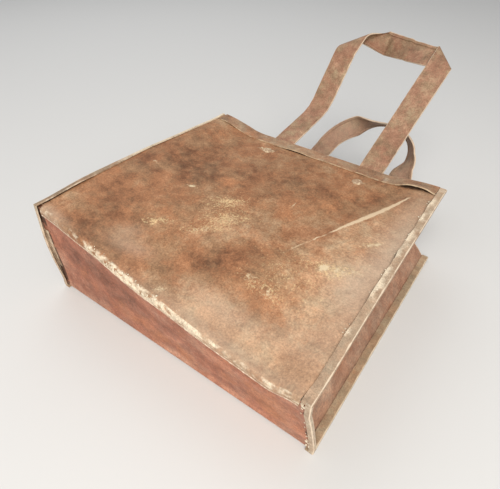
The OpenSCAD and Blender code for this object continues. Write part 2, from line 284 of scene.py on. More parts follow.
@dataclass(frozen=True)
class Crease:
    """Straight crease that the front panel has from its right mouth corner to its middle.

    A ridge, steep on its left and gentle on its right, runs beside a hollow.
    """

    start: tuple[float, float] = (62.0, 100.0)
    end: tuple[float, float] = (126.0, 246.0)
    ridge: float = 1.3
    steep: float = 7.0
    gentle: float = 24.0
    hollow: float = 1.5
    hollow_off: float = 22.0
    hollow_half: float = 15.0
    fade_in: tuple[float, float] = (-25.0, 60.0)
    fade_out: float = 12.0

    def measure(self, x: Grid, y: Grid) -> tuple[Grid, Grid]:
        """Place of points against the crease.

        Args:
            x: Places across the box.
            y: Places from the bottom to the mouth.

        Returns:
            Distance to the left of the crease and distance along it.
        """
        run = np.subtract(self.end, self.start)
        run = run / np.linalg.norm(run)
        dx, dy = x - self.start[0], y - self.start[1]
        return dy * run[0] - dx * run[1], dx * run[0] + dy * run[1]

    def lift(self, x: Grid, y: Grid) -> Grid:
        """Height that the crease adds to the panel."""
        off, run = self.measure(x, y)
        length = math.dist(self.start, self.end)
        fade = ramp(*self.fade_in, run) * ramp(length + self.fade_out, length - self.fade_out, run)
        ridge = bell(off, 0, np.where(off > 0, self.steep, self.gentle))
        return fade * (self.ridge * ridge - self.hollow * bell(off, self.hollow_off, self.hollow_half))


@dataclass(frozen=True)
class Racking:
    """How the real box has been pushed out of square and dented since it was made.

    The shifted corners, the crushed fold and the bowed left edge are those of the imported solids. Along seams
    and folds each station moves as a whole, and the feet of the handles stay put. The dents and the crease
    come on top: the panel's in its upper part and not at the feet, the bottom's away from the floor.
    """

    left_heel_back: Triple = (3.7, 1.9, 0.0)
    left_heel_front: Triple = (0.0, 5.7, 2.5)
    left_mouth_front: Triple = (3.6, 0.0, -1.8)
    right_heel_back: Triple = (0.0, 10.6, 0.0)
    right_heel_front: Triple = (-5.5, 0.0, -11.0)
    right_mouth_front: Triple = (-7.5, -2.4, -6.0)
    fold_drop: float = 12.0
    fold_run: float = 60.0
    left_bow: float = 5.5
    feet_start: float = 0.4
    crush_from: float = -0.9
    crush_to: float = 0.8
    crush_left_over: float = 0.3
    feet_margin: float = 3.0
    calm_x: tuple[float, float] = (105.0, 92.0)
    calm_y: tuple[float, float] = (212.0, 250.0)
    panel_z: tuple[float, float] = (55.0, 92.0)
    bottom_y: tuple[float, float] = (40.0, 4.0)
    bottom_z: tuple[float, float] = (2.0, 12.0)
    press: float = 0.5
    crease: Crease = Crease()

    def __call__(self, points: Grid, across: float | None = None) -> Grid:
        """Points as the wear of the box has moved them.

        Args:
            points: Places in the box's millimetres, with coordinates in the last axis.
            across: Place across the box that all the points move with, or nothing for their own.

        Returns:
            The moved places.
        """
        points = np.asarray(points, float)
        own, y, z = np.moveaxis(points, -1, 0)
        x = own if across is None else np.full_like(own, across)
        return points + self.push(x, y, z) + self.dents(own, y, z)

    def push(self, x: Grid, y: Grid, z: Grid) -> Grid:
        """Shift of places by the racked corners, the crushed fold and the bowed edge.

        Args:
            x: Places across the box.
            y: Places from the bottom to the mouth.
            z: Heights over the floor.

        Returns:
            The shift, with its coordinates in the last axis.
        """
        end, low, high = SIZES.sag_end_half, SIZES.sag_start, SIZES.height - SIZES.band
        back = SIZES.back_out + SIZES.fold_radius + SIZES.channel
        front = SIZES.front_in - SIZES.mouth_sag - SIZES.sheet
        a = np.clip((x + end) / (2 * end), 0, 1)[..., None]
        b = np.clip((y - low) / (high - low), 0, 1)[..., None]
        c = np.clip((z - back) / (front - back), 0, 1)[..., None]
        left_heel = (1 - c) * self.left_heel_back + c * self.left_heel_front
        right_heel = (1 - c) * self.right_heel_back + c * self.right_heel_front
        left = (1 - b) * left_heel + b * c * self.left_mouth_front
        right = (1 - b) * right_heel + b * c * self.right_mouth_front
        feet = SIZES.height - SIZES.tail - self.feet_margin
        loose = 1 - SIZES.dish(x) * ramp(low + self.feet_start * SIZES.height, feet, y)
        crush = ramp(self.crush_from * end, 0, x)
        crush = crush * (1 - (1 - self.crush_left_over) * ramp(self.crush_to * end, end, x))
        crush = crush * bell(np.maximum(y, low), low, self.fold_run)
        up = np.array([0.0, 0.0, 1.0])
        bow = self.left_bow * np.sin(np.pi * b) * (1 - b) * (1 - a) ** 2
        corners = (1 - a) * left + a * right + bow * c * up
        return loose[..., None] * corners - self.fold_drop * crush[..., None] * c * up

    def dents(self, x: Grid, y: Grid, z: Grid) -> Grid:
        """Shift of places by the small dents of the front panel and the bottom, and by the crease."""
        calm = 1 - ramp(*self.calm_x, np.abs(x)) * ramp(*self.calm_y, y)
        waves = 0.5 * np.sin(x / 37 + 1.3) * np.sin(y / 29 + 0.4)
        waves = waves + 0.3 * np.sin(x / 17 + y / 23 + 2.1) + 0.2 * np.sin(x / 11 - y / 13 + 0.7)
        lift = ramp(*self.panel_z, z) * calm * (waves + self.crease.lift(x, y))
        swell = 1 + np.sin(x / 31 + 0.5) * np.sin(z / 19 + 1)
        swell = swell + 0.6 * (1 + np.sin(x / 14 + z / 17 + 0.3))
        press = self.press * ramp(*self.bottom_y, y) * ramp(*self.bottom_z, z) * swell
        return np.stack([np.zeros_like(lift), press, lift], -1)


RACKING = Racking()


@dataclass(frozen=True)
class Stain:
    """Soft oval mark on a sheet: its middle, half sizes, turn in degrees and strength."""

    middle: tuple[float, float]
    half: tuple[float, float]
    turn: float = 0.0
    strength: float = 1.0

    def __call__(self, x: Grid, y: Grid) -> Grid:
        """Strength of the stain at places of the sheet."""
        cos, sin = math.cos(math.radians(self.turn)), math.sin(math.radians(self.turn))
        dx, dy = x - self.middle[0], y - self.middle[1]
        u, v = (dx * cos + dy * sin) / self.half[0], (dy * cos - dx * sin) / self.half[1]
        return self.strength * np.exp(-(u * u + v * v))


def stained(stains: Sequence[Stain], x: Grid, y: Grid) -> Grid:
    """Strength of several stains together, up to 1."""
    return np.clip(sum(s(x, y) for s in stains), 0, 1)


def lumps(shape: tuple[int, int], seed: int, passes: int = 3) -> Grid:
    """Even field of random lumps between about -1 and 1.

    Args:
        shape: Rows and columns of the field.
        seed: Seed of the random numbers.
        passes: How often the field is smoothed.

    Returns:
        The field.
    """
    values = np.random.default_rng(seed).normal(size=shape)
    for _ in range(passes):
        padded = np.pad(values, 1, mode="edge")
        beside = padded[1:-1, :-2] + padded[1:-1, 2:]
        above_below = padded[:-2, 1:-1] + padded[2:, 1:-1]
        values = (beside + above_below + 2 * values) / 6
    return np.clip(values / (2 * values.std()), -1, 1)


def rounded(
    corners: Sequence[tuple[float, float]], radius: float, divisions: Sequence[int], steps: int = 5
) -> Grid:
    """Polyline with its inner corners rounded and its straight runs divided.

    Args:
        corners: Corner points.
        radius: Distance from a corner at which its rounding begins.
        divisions: Number of steps on each straight run.
        steps: Steps in each rounding.

    Returns:
        Points along the rounded line.
    """
    pts = np.asarray(corners, float)
    ways = np.diff(pts, axis=0)
    ways = ways / np.linalg.norm(ways, axis=1, keepdims=True)
    line: list[Grid] = []
    for i, (way, count) in enumerate(zip(ways, divisions)):
        first = pts[i] + way * (radius if i else 0)
        last = pts[i + 1] - way * (radius if i < len(ways) - 1 else 0)
        line.extend(first + (last - first) * t for t in np.linspace(0, 1, count + 1))
        if i < len(ways) - 1:
            after = pts[i + 1] + ways[i + 1] * radius
            for t in np.linspace(0, 1, steps + 1)[1:-1]:
                line.append((1 - t) ** 2 * last + 2 * t * (1 - t) * pts[i + 1] + t * t * after)
    return np.array(line)


def run_length(line: Grid) -> Grid:
    """Distance along a line of points."""
    return np.concatenate([[0.0], np.cumsum(np.linalg.norm(np.diff(line, axis=0), axis=1))])


def grid_normals(grid: Grid) -> Grid:
    """Unit normals of a grid of points."""
    n = np.cross(np.gradient(grid, axis=0), np.gradient(grid, axis=1))
    return n / np.maximum(np.linalg.norm(n, axis=-1, keepdims=True), 1e-9)


@dataclass
class Shell:
    """Thin closed sheet between an outer and an inner grid of points."""

    outer: Grid
    inner: Grid
    marks: dict[Mark, Grid] = field(default_factory=dict)

    @classmethod
    def behind(cls, outer: Grid, thickness: float, inside: Sequence[float], **marks: Grid) -> "Shell":
        """Sheet with its thickness behind an outer face.

        Args:
            outer: Grid of the outer face.
            thickness: Thickness of the sheet.
            inside: A place on the inner side of most of the sheet.
            marks: Marks by the names of Mark.

        Returns:
            The shell.
        """
        normals = grid_normals(outer)
        facing = np.sum(normals * (np.asarray(inside, float) - outer))
        inner = outer + normals * (thickness if facing > 0 else -thickness)
        return cls(outer, inner, {Mark[k.upper()]: v for k, v in marks.items()})

    def faces(self, first: int) -> Grid:
        """Quads of the two faces and of the rim between them.

        Args:
            first: Number of the shell's first point in its mesh.

        Returns:
            Point numbers of each quad.
        """
        rows, cols = self.outer.shape[:2]
        index = np.arange(rows * cols).reshape(rows, cols) + first
        top = np.stack([index[:-1, :-1], index[1:, :-1], index[1:, 1:], index[:-1, 1:]], -1).reshape(-1, 4)
        edge = np.concatenate([index[0, :], index[1:, -1], index[-1, -2::-1], index[-2:0:-1, 0]])
        after = np.roll(edge, -1)
        under = rows * cols
        rim = np.stack([edge, after, after + under, edge + under], -1)
        return np.concatenate([top, top[:, ::-1] + under, rim])


def declared(made: bpy.types.Object, slot: str, *nodes: str) -> None:
    """Hide the nodes that an object stands for and log which they are."""
    if nodes:
        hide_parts(*nodes)
    log.info("%s: %d faces for %s", made.name, len(made.data.polygons), ", ".join(nodes) or "no node")


class Piece:
    """One named piece of the box made of shells."""

    BEFORE_BEND = (0.0, -4.0, 0.0)
    BEHIND_BEND = (0.0, 6.0, 0.0)

    def __init__(self, name: str, shells: Sequence[Shell], material: bpy.types.Material) -> None:
        """Make the piece's mesh and object.

        Args:
            name: Name of the object.
            shells: Closed sheets that make up the piece.
            material: Finish of the piece.
        """
        points: list[Grid] = []
        quads: list[Grid] = []
        first = 0
        for shell in shells:
            quads.append(shell.faces(first))
            points += [shell.outer.reshape(-1, 3), shell.inner.reshape(-1, 3)]
            first += 2 * shell.outer.shape[0] * shell.outer.shape[1]
        mesh = bpy.data.meshes.new(name)
        mesh.from_pydata(to_frame(np.concatenate(points)).tolist(), [], np.concatenate(quads).tolist())
        for mark in (m for m in Mark if any(m in shell.marks for shell in shells)):
            values = [shell.marks.get(mark, np.zeros(shell.outer.shape[:2])).reshape(-1) for shell in shells]
            both = np.concatenate([np.tile(v, 2) for v in values]).astype(np.float32)
            mesh.attributes.new(mark.value, "FLOAT", "POINT").data.foreach_set("value", both)
        self.object = bpy.data.objects.new(name, self.tidied(mesh))
        self.object.data.materials.append(material)
        bpy.context.scene.collection.objects.link(self.object)

    @staticmethod
    def tidied(mesh: bpy.types.Mesh, sharp: float = 48.0) -> bpy.types.Mesh:
        """Mesh with its normals outwards and smooth shading between its sharp edges."""
        work = bmesh.new()
        work.from_mesh(mesh)
        bmesh.ops.recalc_face_normals(work, faces=work.faces)
        work.to_mesh(mesh)
        work.free()
        mesh.polygons.foreach_set("use_smooth", [True] * len(mesh.polygons))
        mesh.set_sharp_from_angle(angle=math.radians(sharp))
        return mesh

    def on(self, body: Body, slot: str, *nodes: str) -> None:
        """Let the piece ride on a body and stand for nodes."""
        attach(self.object, body.value)
        declared(self.object, slot, *nodes)

    def bent(self, body: Body, bend: Sequence[float], slot: str, *nodes: str) -> None:
        """Bake the piece's placement into its mesh and let it stand for nodes.

        Args:
            body: The handle's body, which is not used.
            bend: Place of the bend line, which is not used.
            slot: Material slot of the record, which is not used.
            nodes: Nodes that the piece stands for.
        """
        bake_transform(self.object)
        declared(self.object, slot, *nodes)


class Wiring:
    """Short calls for placing and linking the nodes of one tree."""

    def __init__(self, tree: bpy.types.NodeTree) -> None:
        """Take the tree that the nodes go into."""
        self.tree = tree

    def add(self, kind: str, inputs: dict | None = None, **settings: object) -> bpy.types.Node:
        """Place a node.

        Args:
            kind: Type of the node.
            inputs: Values or sockets by input name or number.
            settings: The node's own settings.

        Returns:
            The node.
        """
        node = self.tree.nodes.new(kind)
        for key, value in settings.items():
            setattr(node, key, value)
        for key, value in (inputs or {}).items():
            self.feed(node.inputs[key], value)
        return node

    def out(self, kind: str, inputs: dict | None = None, **settings: object) -> bpy.types.NodeSocket:
        """Place a node and take its first output."""
        return self.add(kind, inputs, **settings).outputs[0]

    def feed(self, socket: bpy.types.NodeSocket, value: object) -> None:
        """Give an input a link, a number, a colour or a vector."""
        if isinstance(value, bpy.types.NodeSocket):
            self.tree.links.new(value, socket)
        elif isinstance(value, tuple) and socket.type == "RGBA":
            socket.default_value = (*value, 1.0)
        else:
            socket.default_value = value

    def math(self, operation: str, *values: object, clamp: bool = False) -> bpy.types.NodeSocket:
        """Result of a calculation with one to three values."""
        return self.out("ShaderNodeMath", dict(enumerate(values)), operation=operation, use_clamp=clamp)

    def times(self, a: object, b: object, clamp: bool = False) -> bpy.types.NodeSocket:
        """Product of two values."""
        return self.math("MULTIPLY", a, b, clamp=clamp)

    def plus(self, a: object, b: object, clamp: bool = False) -> bpy.types.NodeSocket:
        """Sum of two values."""
        return self.math("ADD", a, b, clamp=clamp)

    def minus(self, a: object, b: object, clamp: bool = False) -> bpy.types.NodeSocket:
        """Difference of two values."""
        return self.math("SUBTRACT", a, b, clamp=clamp)

    def scaled(self, value: object, factor: object, start: object) -> bpy.types.NodeSocket:
        """A start with a value times a factor on top."""
        return self.math("MULTIPLY_ADD", value, factor, start)

    def mix(self, factor: object, a: object, b: object, blend: str = "MIX") -> bpy.types.NodeSocket:
        """Colour between two colours."""
        node = self.add("ShaderNodeMix", data_type="RGBA", blend_type=blend)
        for number, value in ((0, factor), (6, a), (7, b)):
            self.feed(node.inputs[number], value)
        return node.outputs[2]

    def shaded(self, colour: object, shade: object, share: float = 1.0) -> bpy.types.NodeSocket:
        """Colour times a shade."""
        return self.mix(share, colour, shade, "MULTIPLY")

    def step(self, value: object, low: object, high: object) -> bpy.types.NodeSocket:
        """Smooth step of a value between two limits."""
        limits = {0: value, 1: low, 2: high}
        return self.out("ShaderNodeMapRange", limits, interpolation_type="SMOOTHSTEP")

    def noise(self, vector: object, scale: object, detail: float, rough: float) -> bpy.types.NodeSocket:
        """Value of a noise at a place."""
        inputs = {"Vector": vector, "Scale": scale, "Detail": detail, "Roughness": rough}
        return self.out("ShaderNodeTexNoise", inputs)

    def swing(self, vector: object, scale: object, detail: float, rough: float) -> bpy.types.NodeSocket:
        """Noise that swings to both sides of 0."""
        return self.minus(self.noise(vector, scale, detail, rough), 0.5)

    def stretched(self, vector: object, scale: Triple, turn: Triple) -> bpy.types.NodeSocket:
        """Place in a pattern that is drawn out and turned."""
        return self.out("ShaderNodeMapping", {"Vector": vector, "Scale": scale, "Rotation": turn})

    def moved(self, operation: str, vector: object, by: object) -> bpy.types.NodeSocket:
        """Result of a calculation with a vector and a second vector or, for SCALE, a number."""
        inputs = {0: vector, "Scale" if operation == "SCALE" else 1: by}
        return self.out("ShaderNodeVectorMath", inputs, operation=operation)

    def warped(self, vector: object, scale: object, amount: float) -> bpy.types.NodeSocket:
        """Place that a noise has moved by up to half an amount."""
        noise = self.add("ShaderNodeTexNoise", {"Vector": vector, "Scale": scale, "Detail": 3.0})
        drift = self.moved("SUBTRACT", noise.outputs[1], (0.5, 0.5, 0.5))
        return self.moved("ADD", vector, self.moved("SCALE", drift, amount))

    def surface(self, inputs: dict[str, object]) -> None:
        """End a material with its one shader."""
        shader = self.out("ShaderNodeBsdfPrincipled", inputs)
        self.add("ShaderNodeOutputMaterial", {"Surface": shader})

    def mark(self, mark: Mark) -> bpy.types.NodeSocket:
        """Value of a shell's mark."""
        return self.add("ShaderNodeAttribute", attribute_name=mark.value).outputs["Fac"]


class Effect:
    """Shader node group with named inputs and outputs, made once and used in several finishes."""

    def __init__(self, name: str, inputs: dict[str, object], outputs: dict[str, str]) -> None:
        """Start a group.

        Args:
            name: Name of the group.
            inputs: Default values by input name: a number, a colour or None for a place.
            outputs: Kinds of value by output name.
        """
        self.tree = bpy.data.node_groups.new(name, "ShaderNodeTree")
        for key, value in inputs.items():
            kind = "Vector" if value is None else "Color" if isinstance(value, tuple) else "Float"
            socket = self.tree.interface.new_socket(name=key, in_out="INPUT", socket_type="NodeSocket" + kind)
            if value is not None:
                socket.default_value = (*value, 1.0) if isinstance(value, tuple) else value
        for key, kind in outputs.items():
            self.tree.interface.new_socket(name=key, in_out="OUTPUT", socket_type="NodeSocket" + kind)
        self.wiring = Wiring(self.tree)
        self.inputs = self.tree.nodes.new("NodeGroupInput").outputs
        self.outputs = self.tree.nodes.new("NodeGroupOutput").inputs

    @staticmethod
    def use(wiring: Wiring, tree: bpy.types.NodeTree, **inputs: object) -> bpy.types.bpy_prop_collection:
        """Place a group in a finish.

        Args:
            wiring: The finish's tree.
            tree: The group.
            inputs: Values by input name in lower case.

        Returns:
            The outputs of the placed group.
        """
        node = wiring.add("ShaderNodeGroup", node_tree=tree)
        for key, value in inputs.items():
            wiring.feed(node.inputs[key.replace("_", " ").title()], value)
        return node.outputs


def patina_effect() -> bpy.types.NodeTree:
    """Rust in soft clouds, ragged mottling and fine grain, from dark scale to dusty light rust."""
    grey = (0.2, 0.2, 0.2)
    inputs = {"Vector": None, "Scale": 14.0, "Dark": grey, "Mid": grey, "Light": grey}
    outputs = {"Color": "Color", "Shade": "Color", "Grain": "Float", "Height": "Float"}
    effect = Effect("rust patina", {**inputs, "Lightness": 0.0, "Darkness": 0.0}, outputs)
    w, i = effect.wiring, effect.inputs
    place, scale = i["Vector"], i["Scale"]
    cloud = w.noise(w.warped(place, w.times(scale, 2.0), 0.03), scale, 6.0, 0.62)
    torn = w.warped(place, w.times(scale, 9.0), 0.006)
    mottle = w.noise(torn, w.times(scale, 5.0), 9.0, 0.76)
    uneven = w.minus(mottle, 0.5)
    grain = w.noise(place, w.times(scale, 44.0), 4.0, 0.7)
    level = w.scaled(w.minus(cloud, 0.5), 0.8, 0.5)
    level = w.scaled(uneven, 1.2, level)
    level = w.scaled(i["Lightness"], 0.5, level)
    level = w.scaled(i["Darkness"], -0.42, level)
    colour = w.mix(w.step(level, 0.0, 0.55), i["Dark"], i["Mid"])
    colour = w.mix(w.step(level, 0.45, 1.0), colour, i["Light"])
    tone = w.scaled(w.minus(grain, 0.5), 1.7, 1.0)
    tone = w.math("MAXIMUM", w.scaled(uneven, 0.8, tone), 0.3)
    shade = w.out("ShaderNodeCombineColor", {0: tone, 1: tone, 2: tone})
    height = w.plus(w.times(mottle, 0.6), w.times(grain, 0.4))
    results = {"Color": w.shaded(colour, shade), "Shade": shade, "Grain": grain, "Height": height}
    for key, value in results.items():
        w.feed(effect.outputs[key], value)
    return effect.tree


def wear_effect() -> bpy.types.NodeTree:
    """Worn band along an edge, broken up where the wear has missed it."""
    inputs = {"Vector": None, "Rim": 10.0, "Width": 1.2, "Scale": 90.0, "Cover": 0.6}
    effect = Effect("worn edge", inputs, {"Mask": "Float"})
    w, i = effect.wiring, effect.inputs
    ragged = w.swing(i["Vector"], i["Scale"], 4.0, 0.65)
    reach = w.plus(i["Rim"], w.times(ragged, w.times(i["Width"], 2.4)))
    band = w.step(reach, i["Width"], w.times(i["Width"], 0.25))
    patches = w.noise(i["Vector"], w.times(i["Scale"], 0.3), 3.0, 0.5)
    missed = w.step(patches, w.minus(0.72, i["Cover"]), w.minus(0.92, i["Cover"]))
    w.feed(effect.outputs["Mask"], w.times(band, missed, clamp=True))
    return effect.tree


def speckle_effect() -> bpy.types.NodeTree:
    """Ragged pale flecks in three sizes, closer together where the density is high."""
    effect = Effect("pale speckle", {"Vector": None, "Scale": 420.0, "Density": 0.2}, {"Mask": "Float"})
    w, i = effect.wiring, effect.inputs
    patches = w.noise(i["Vector"], w.times(i["Scale"], 0.11), 5.0, 0.7)
    limit = w.scaled(w.times(i["Density"], patches), -0.4, 0.715)
    masks = []
    for factor, rarer in ((1.0, 0.0), (0.55, 0.03), (0.25, 0.1)):
        flecks = w.noise(i["Vector"], w.times(i["Scale"], factor), 4.0, 0.72)
        start = w.plus(limit, rarer)
        masks.append(w.step(flecks, start, w.plus(start, 0.1)))
    w.feed(effect.outputs["Mask"], w.math("MAXIMUM", masks[0], w.math("MAXIMUM", *masks[1:])))
    return effect.tree


def chalk_effect() -> bpy.types.NodeTree:
    """Chalky cover that breaks up into ragged patches where it is thin."""
    inputs = {"Vector": None, "Scale": 85.0, "Amount": 0.0, "Softness": 0.34}
    effect = Effect("chalk cover", inputs, {"Mask": "Float"})
    w, i = effect.wiring, effect.inputs
    ragged = w.noise(w.warped(i["Vector"], 160.0, 0.004), i["Scale"], 7.0, 0.75)
    cover = w.scaled(i["Amount"], 0.5, ragged)
    w.feed(effect.outputs["Mask"], w.step(cover, 0.72, w.plus(i["Softness"], 0.72)))
    return effect.tree


def streak_effect() -> bpy.types.NodeTree:
    """Drawn-out smears in a turned direction."""
    effect = Effect("rust streaks", {"Vector": None, "Scale": 20.0}, {"Mask": "Float"})
    w, i = effect.wiring, effect.inputs
    wide = w.step(w.noise(i["Vector"], i["Scale"], 5.0, 0.66), 0.46, 0.66)
    fine = w.step(w.noise(i["Vector"], w.times(i["Scale"], 6.0), 3.0, 0.6), 0.42, 0.7)
    w.feed(effect.outputs["Mask"], w.plus(w.times(wide, 0.7), w.times(fine, 0.3)))
    return effect.tree


@dataclass(frozen=True)
class EffectSet:
    """The node groups that the finishes share."""

    patina: bpy.types.NodeTree
    wear: bpy.types.NodeTree
    speckle: bpy.types.NodeTree
    streak: bpy.types.NodeTree
    chalk: bpy.types.NodeTree

    @classmethod
    def build(cls) -> "EffectSet":
        """Make every group once."""
        return cls(patina_effect(), wear_effect(), speckle_effect(), streak_effect(), chalk_effect())


def blank_finish(name: str) -> tuple[bpy.types.Material, Wiring, bpy.types.NodeSocket]:
    """Start a material.

    Args:
        name: Name of the material.

    Returns:
        The material, its wiring and the places on the object.
    """
    made = bpy.data.materials.new(name)
    made.use_nodes = True
    made.node_tree.nodes.clear()
    w = Wiring(made.node_tree)
    return made, w, w.add("ShaderNodeTexCoord").outputs["Object"]


@dataclass(frozen=True)
class RustFinish:
    """Rusted sheet steel: colours, sizes of its mottling and amounts of its wear."""

    name: str
    dark: Colour
    mid: Colour
    light: Colour
    orange: Colour = (0.44, 0.19, 0.085)
    pale: Colour = (0.62, 0.45, 0.24)
    bare: Colour = (0.68, 0.52, 0.34)
    chalk: Colour = (0.67, 0.555, 0.405)
    dust: Colour = (0.48, 0.362, 0.262)
    spot: Colour = (0.66, 0.53, 0.34)
    red_tint: Colour = (1.07, 0.94, 0.92)
    olive_tint: Colour = (0.97, 1.03, 1.10)
    # Colour of the painted shade in the gaps beside strips and bands.
    grime: Colour = (0.055, 0.034, 0.022)
    scale: float = 14.0
    orange_share: float = 0.22
    speck_density: float = 0.1
    speck_scale: float = 620.0
    wear_width: float = 1.2
    wear_cover: float = 0.5
    streak_scale: Triple = (1.0, 1.0, 1.0)
    streak_turn: Triple = (0.0, 0.0, 0.0)
    streak_share: float = 0.2
    roughness: float = 0.64
    metallic: float = 0.1
    specular: float = 0.25
    bump: float = 0.4
    creased: bool = False
    cover: float = 0.85
    fleck_cover: float = 0.7
    spot_scale: float = 210.0
    spot_softness: float = 0.16
    # Fineness and raggedness of that painted shade.
    gap_shade_scale: float = 48.0
    gap_shade_ragged: float = 4.5
    relief: float = 0.0006

    def material(self, effects: EffectSet) -> bpy.types.Material:
        """Make the finish.

        Args:
            effects: The shared node groups.

        Returns:
            The material.
        """
        made, w, place = blank_finish(self.name)
        rust = Effect.use(
            w, effects.patina, vector=place, scale=self.scale, dark=self.dark, mid=self.mid, light=self.light,
            lightness=w.mark(Mark.TAN), darkness=w.mark(Mark.DARK),
        )
        colour = self.rusted(w, place, rust, effects)
        density = w.plus(w.mark(Mark.SPECK), self.speck_density)
        fleck = Effect.use(w, effects.speckle, vector=place, scale=self.speck_scale, density=density)["Mask"]
        colour = w.mix(w.times(fleck, self.fleck_cover), colour, w.shaded(self.pale, rust["Shade"]))
        chalk = Effect.use(w, effects.chalk, vector=place, amount=w.mark(Mark.PALE))["Mask"]
        colour = w.mix(chalk, colour, w.shaded(self.chalk, rust["Shade"]))
        spots = Effect.use(
            w, effects.chalk, vector=place, scale=self.spot_scale, amount=w.mark(Mark.FLECK),
            softness=self.spot_softness,
        )["Mask"]
        colour = w.mix(w.times(spots, self.cover), colour, self.spot)
        worn = self.worn(w, place, effects)
        colour = w.mix(w.times(worn, self.cover), colour, self.bare)
        # Painted shade along the gaps beside strips and bands, broken up by a noise.
        ragged = w.swing(place, self.gap_shade_scale, 5.0, 0.7)
        gap_shade_mask = w.scaled(ragged, w.times(w.mark(Mark.GRIME), self.gap_shade_ragged), w.mark(Mark.GRIME))
        colour = w.mix(w.times(w.step(gap_shade_mask, 0.5, 0.9), self.cover), colour, self.grime)
        rough = w.plus(w.times(rust["Grain"], 0.3), self.roughness - 0.15)
        rough = w.minus(rough, w.times(worn, 0.1), clamp=True)
        crust = w.math("MAXIMUM", fleck, w.math("MAXIMUM", chalk, spots))
        height = w.scaled(crust, 0.25, rust["Height"])
        bump = w.out("ShaderNodeBump", {"Strength": self.bump, "Distance": self.relief, "Height": height})
        inputs = {"Base Color": colour, "Roughness": rough, "Metallic": self.metallic, "Normal": bump}
        w.surface({**inputs, "Specular IOR Level": self.specular})
        return made

    def worn(self, w: Wiring, place: bpy.types.NodeSocket, effects: EffectSet) -> bpy.types.NodeSocket:
        """Strength of the bare metal on the edges and, on a creased sheet, along the crease.

        Args:
            w: The finish's tree.
            place: Places on the object.
            effects: The shared node groups.

        Returns:
            The strength.
        """
        rim, width = w.mark(Mark.RIM), self.wear_width
        edges = Effect.use(w, effects.wear, vector=place, rim=rim, width=width, cover=self.wear_cover)["Mask"]
        return w.math("MAXIMUM", edges, self.crease_line(w, place)) if self.creased else edges

    def rusted(
        self,
        w: Wiring,
        place: bpy.types.NodeSocket,
        rust: bpy.types.bpy_prop_collection,
        effects: EffectSet,
    ) -> bpy.types.NodeSocket:
        """Colour of the rust with its dust, smears and orange spots.

        Args:
            w: The finish's tree.
            place: Places on the object.
            rust: Outputs of the patina.
            effects: The shared node groups.

        Returns:
            The colour.
        """
        hue = w.step(w.noise(w.warped(place, 60.0, 0.008), self.scale * 2.6, 8.0, 0.72), 0.40, 0.62)
        tint = w.mix(hue, self.red_tint, self.olive_tint)
        veil = w.shaded(self.dust, rust["Shade"], 0.45)
        colour = w.shaded(rust["Color"], tint)
        colour = w.mix(w.times(w.mark(Mark.DUST), self.cover), colour, veil)
        drawn = w.stretched(place, self.streak_scale, self.streak_turn)
        smear = Effect.use(w, effects.streak, vector=drawn, scale=self.scale * 1.6)["Mask"]
        colour = w.mix(w.times(smear, self.streak_share), colour, self.dark)
        heat = w.noise(place, self.scale * 2.3, 7.0, 0.72)
        heat = w.scaled(w.mark(Mark.ORANGE), 0.26, heat)
        start = 0.64 - self.orange_share * 0.4
        glow = w.times(w.step(heat, start, start + 0.3), 0.7)
        return w.mix(glow, colour, w.shaded(self.orange, rust["Shade"]))

    @staticmethod
    def crease_line(w: Wiring, place: bpy.types.NodeSocket) -> bpy.types.NodeSocket:
        """Bright line along the front panel's crease, widest near the mouth corner.

        Args:
            w: The finish's tree.
            place: Places on the object.

        Returns:
            Strength of the line.
        """
        run = w.mark(Mark.RUN)
        ragged = w.swing(place, 130.0, 6.0, 0.75)
        off = w.math("ABSOLUTE", w.plus(w.mark(Mark.CREASE), w.times(ragged, 5.0)))
        width = w.scaled(w.step(run, 45.0, 95.0), 2.1, 0.7)
        width = w.times(width, w.scaled(w.step(run, 120.0, 150.0), -0.5, 1.0))
        line = w.step(off, w.times(width, 1.15), w.times(width, 0.6))
        ends = w.times(w.step(run, -12.0, 45.0), w.step(run, 156.0, 146.0))
        gaps = w.scaled(w.step(run, 40.0, 90.0), -0.45, 0.40)
        broken = w.step(w.noise(place, 55.0, 3.0, 0.6), gaps, w.plus(gaps, 0.2))
        return w.times(w.times(line, ends), broken, clamp=True)


@dataclass(frozen=True)
class CrustFinish:
    """Whitish corrosion and dull solder: chalky grains over a darker ground."""

    name: str
    ground: Colour
    chalk: Colour
    share: float = 0.6
    roughness: float = 0.75
    metallic: float = 0.1
    scale: float = 60.0
    grain_scale: float = 230.0
    bump: float = 0.6
    relief: float = 0.0005

    def material(self, effects: EffectSet) -> bpy.types.Material:
        """Make the finish.

        Args:
            effects: The shared node groups.

        Returns:
            The material.
        """
        made, w, place = blank_finish(self.name)
        rust = Effect.use(
            w, effects.patina, vector=place, scale=self.scale,
            dark=self.ground, mid=self.ground, light=self.chalk,
        )
        start = 0.72 - 0.5 * self.share
        chalky = w.step(w.noise(place, self.grain_scale, 4.0, 0.65), start, start + 0.14)
        colour = w.mix(chalky, rust["Color"], self.chalk)
        rough = w.plus(w.times(rust["Grain"], 0.25), self.roughness - 0.12, clamp=True)
        height = rust["Height"]
        bump = w.out("ShaderNodeBump", {"Strength": self.bump, "Distance": self.relief, "Height": height})
        w.surface({"Base Color": colour, "Roughness": rough, "Metallic": self.metallic, "Normal": bump})
        return made


